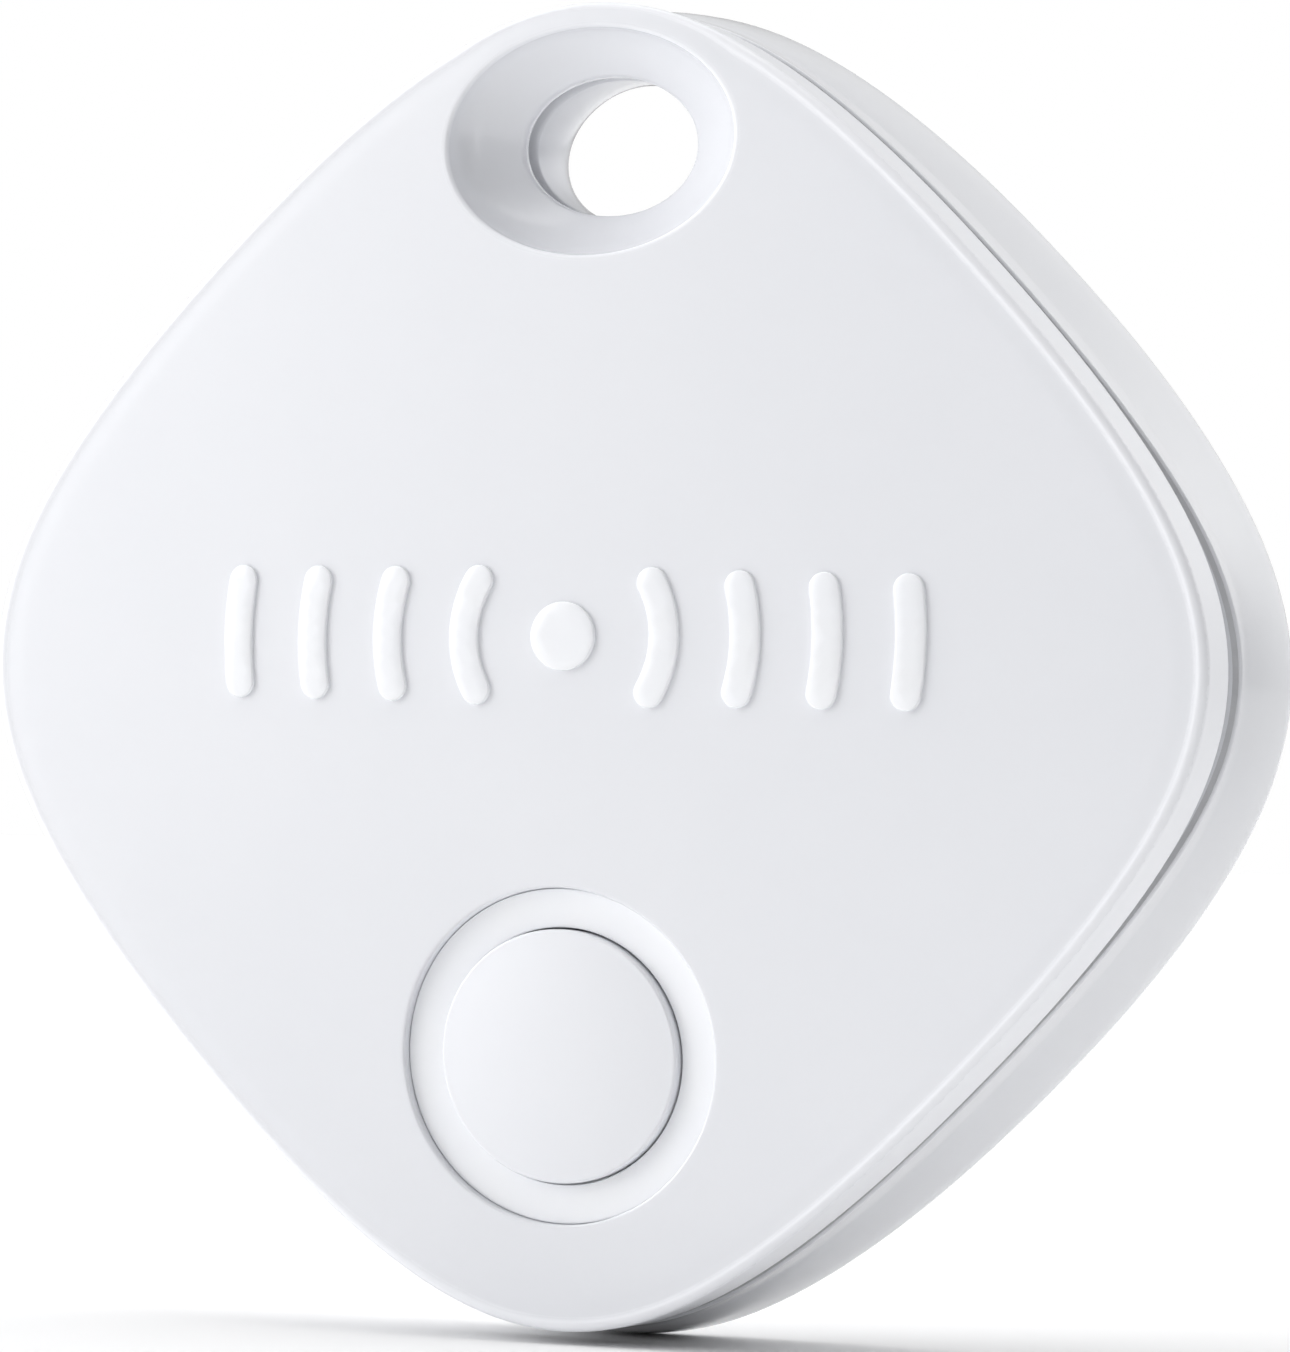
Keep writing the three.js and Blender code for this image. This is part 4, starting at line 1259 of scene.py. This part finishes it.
def sky():
    """Studio surroundings: bright at the left and overhead, dark at the right, plain white to the camera."""
    world = bpy.data.worlds.new("studio")
    world.use_nodes = True
    nodes = world.node_tree.nodes
    links = world.node_tree.links

    def calculate(operation, first, second):
        node = nodes.new("ShaderNodeMath")
        node.operation = operation
        for socket, value in zip(node.inputs, (first, second)):
            if isinstance(value, float):
                socket.default_value = value
            else:
                links.new(value, socket)
        return node.outputs["Value"]

    background = nodes["Background"]
    background.inputs["Color"].default_value = (1, 1, 1, 1)
    coords = nodes.new("ShaderNodeTexCoord")
    slope = nodes.new("ShaderNodeVectorMath")
    slope.operation = "DOT_PRODUCT"
    slope.inputs[1].default_value = SKY_SLOPE
    links.new(coords.outputs["Generated"], slope.inputs[0])
    total = calculate("MAXIMUM", calculate("ADD", slope.outputs["Value"], SKY_LEVEL), 0.0)
    for direction, tightness, radiance in SOFTBOXES:
        aim = nodes.new("ShaderNodeVectorMath")
        aim.operation = "DOT_PRODUCT"
        aim.inputs[1].default_value = Vector(direction).normalized()
        links.new(coords.outputs["Generated"], aim.inputs[0])
        facing = calculate("MAXIMUM", aim.outputs["Value"], 0.0)
        glow = calculate("MULTIPLY", calculate("POWER", facing, tightness), radiance)
        total = calculate("ADD", total, glow)
    seen = nodes.new("ShaderNodeLightPath").outputs["Is Camera Ray"]
    links.new(calculate("MAXIMUM", total, seen), background.inputs["Strength"])
    bpy.context.scene.world = world


def glint_strip():
    """A narrow lamp at the right, which the glossy edges pick up."""
    data = bpy.data.lights.new("glint_strip", "AREA")
    data.shape = "RECTANGLE"
    data.size, data.size_y = GLINT_SIZE
    data.energy = GLINT_POWER
    lamp = bpy.data.objects.new("glint_strip", data)
    lamp.location = GLINT_PLACE
    lamp.visible_camera = False
    lamp.rotation_mode = "QUATERNION"
    lamp.rotation_quaternion = (Vector(GLINT_AIM) - Vector(GLINT_PLACE)).to_track_quat("-Z", "Y")
    bpy.context.scene.collection.objects.link(lamp)


def studio():
    camera()
    floor()
    sky()
    glint_strip()
    bpy.context.scene.view_settings.view_transform = "Standard"


studio()
finish_cad_nodes()
front_shell()
rear_shell()
perimeter_seal()
groove_shade_sheet()
tube_seal()
button()
coin_cell()
foam_pad()
raised_mark()
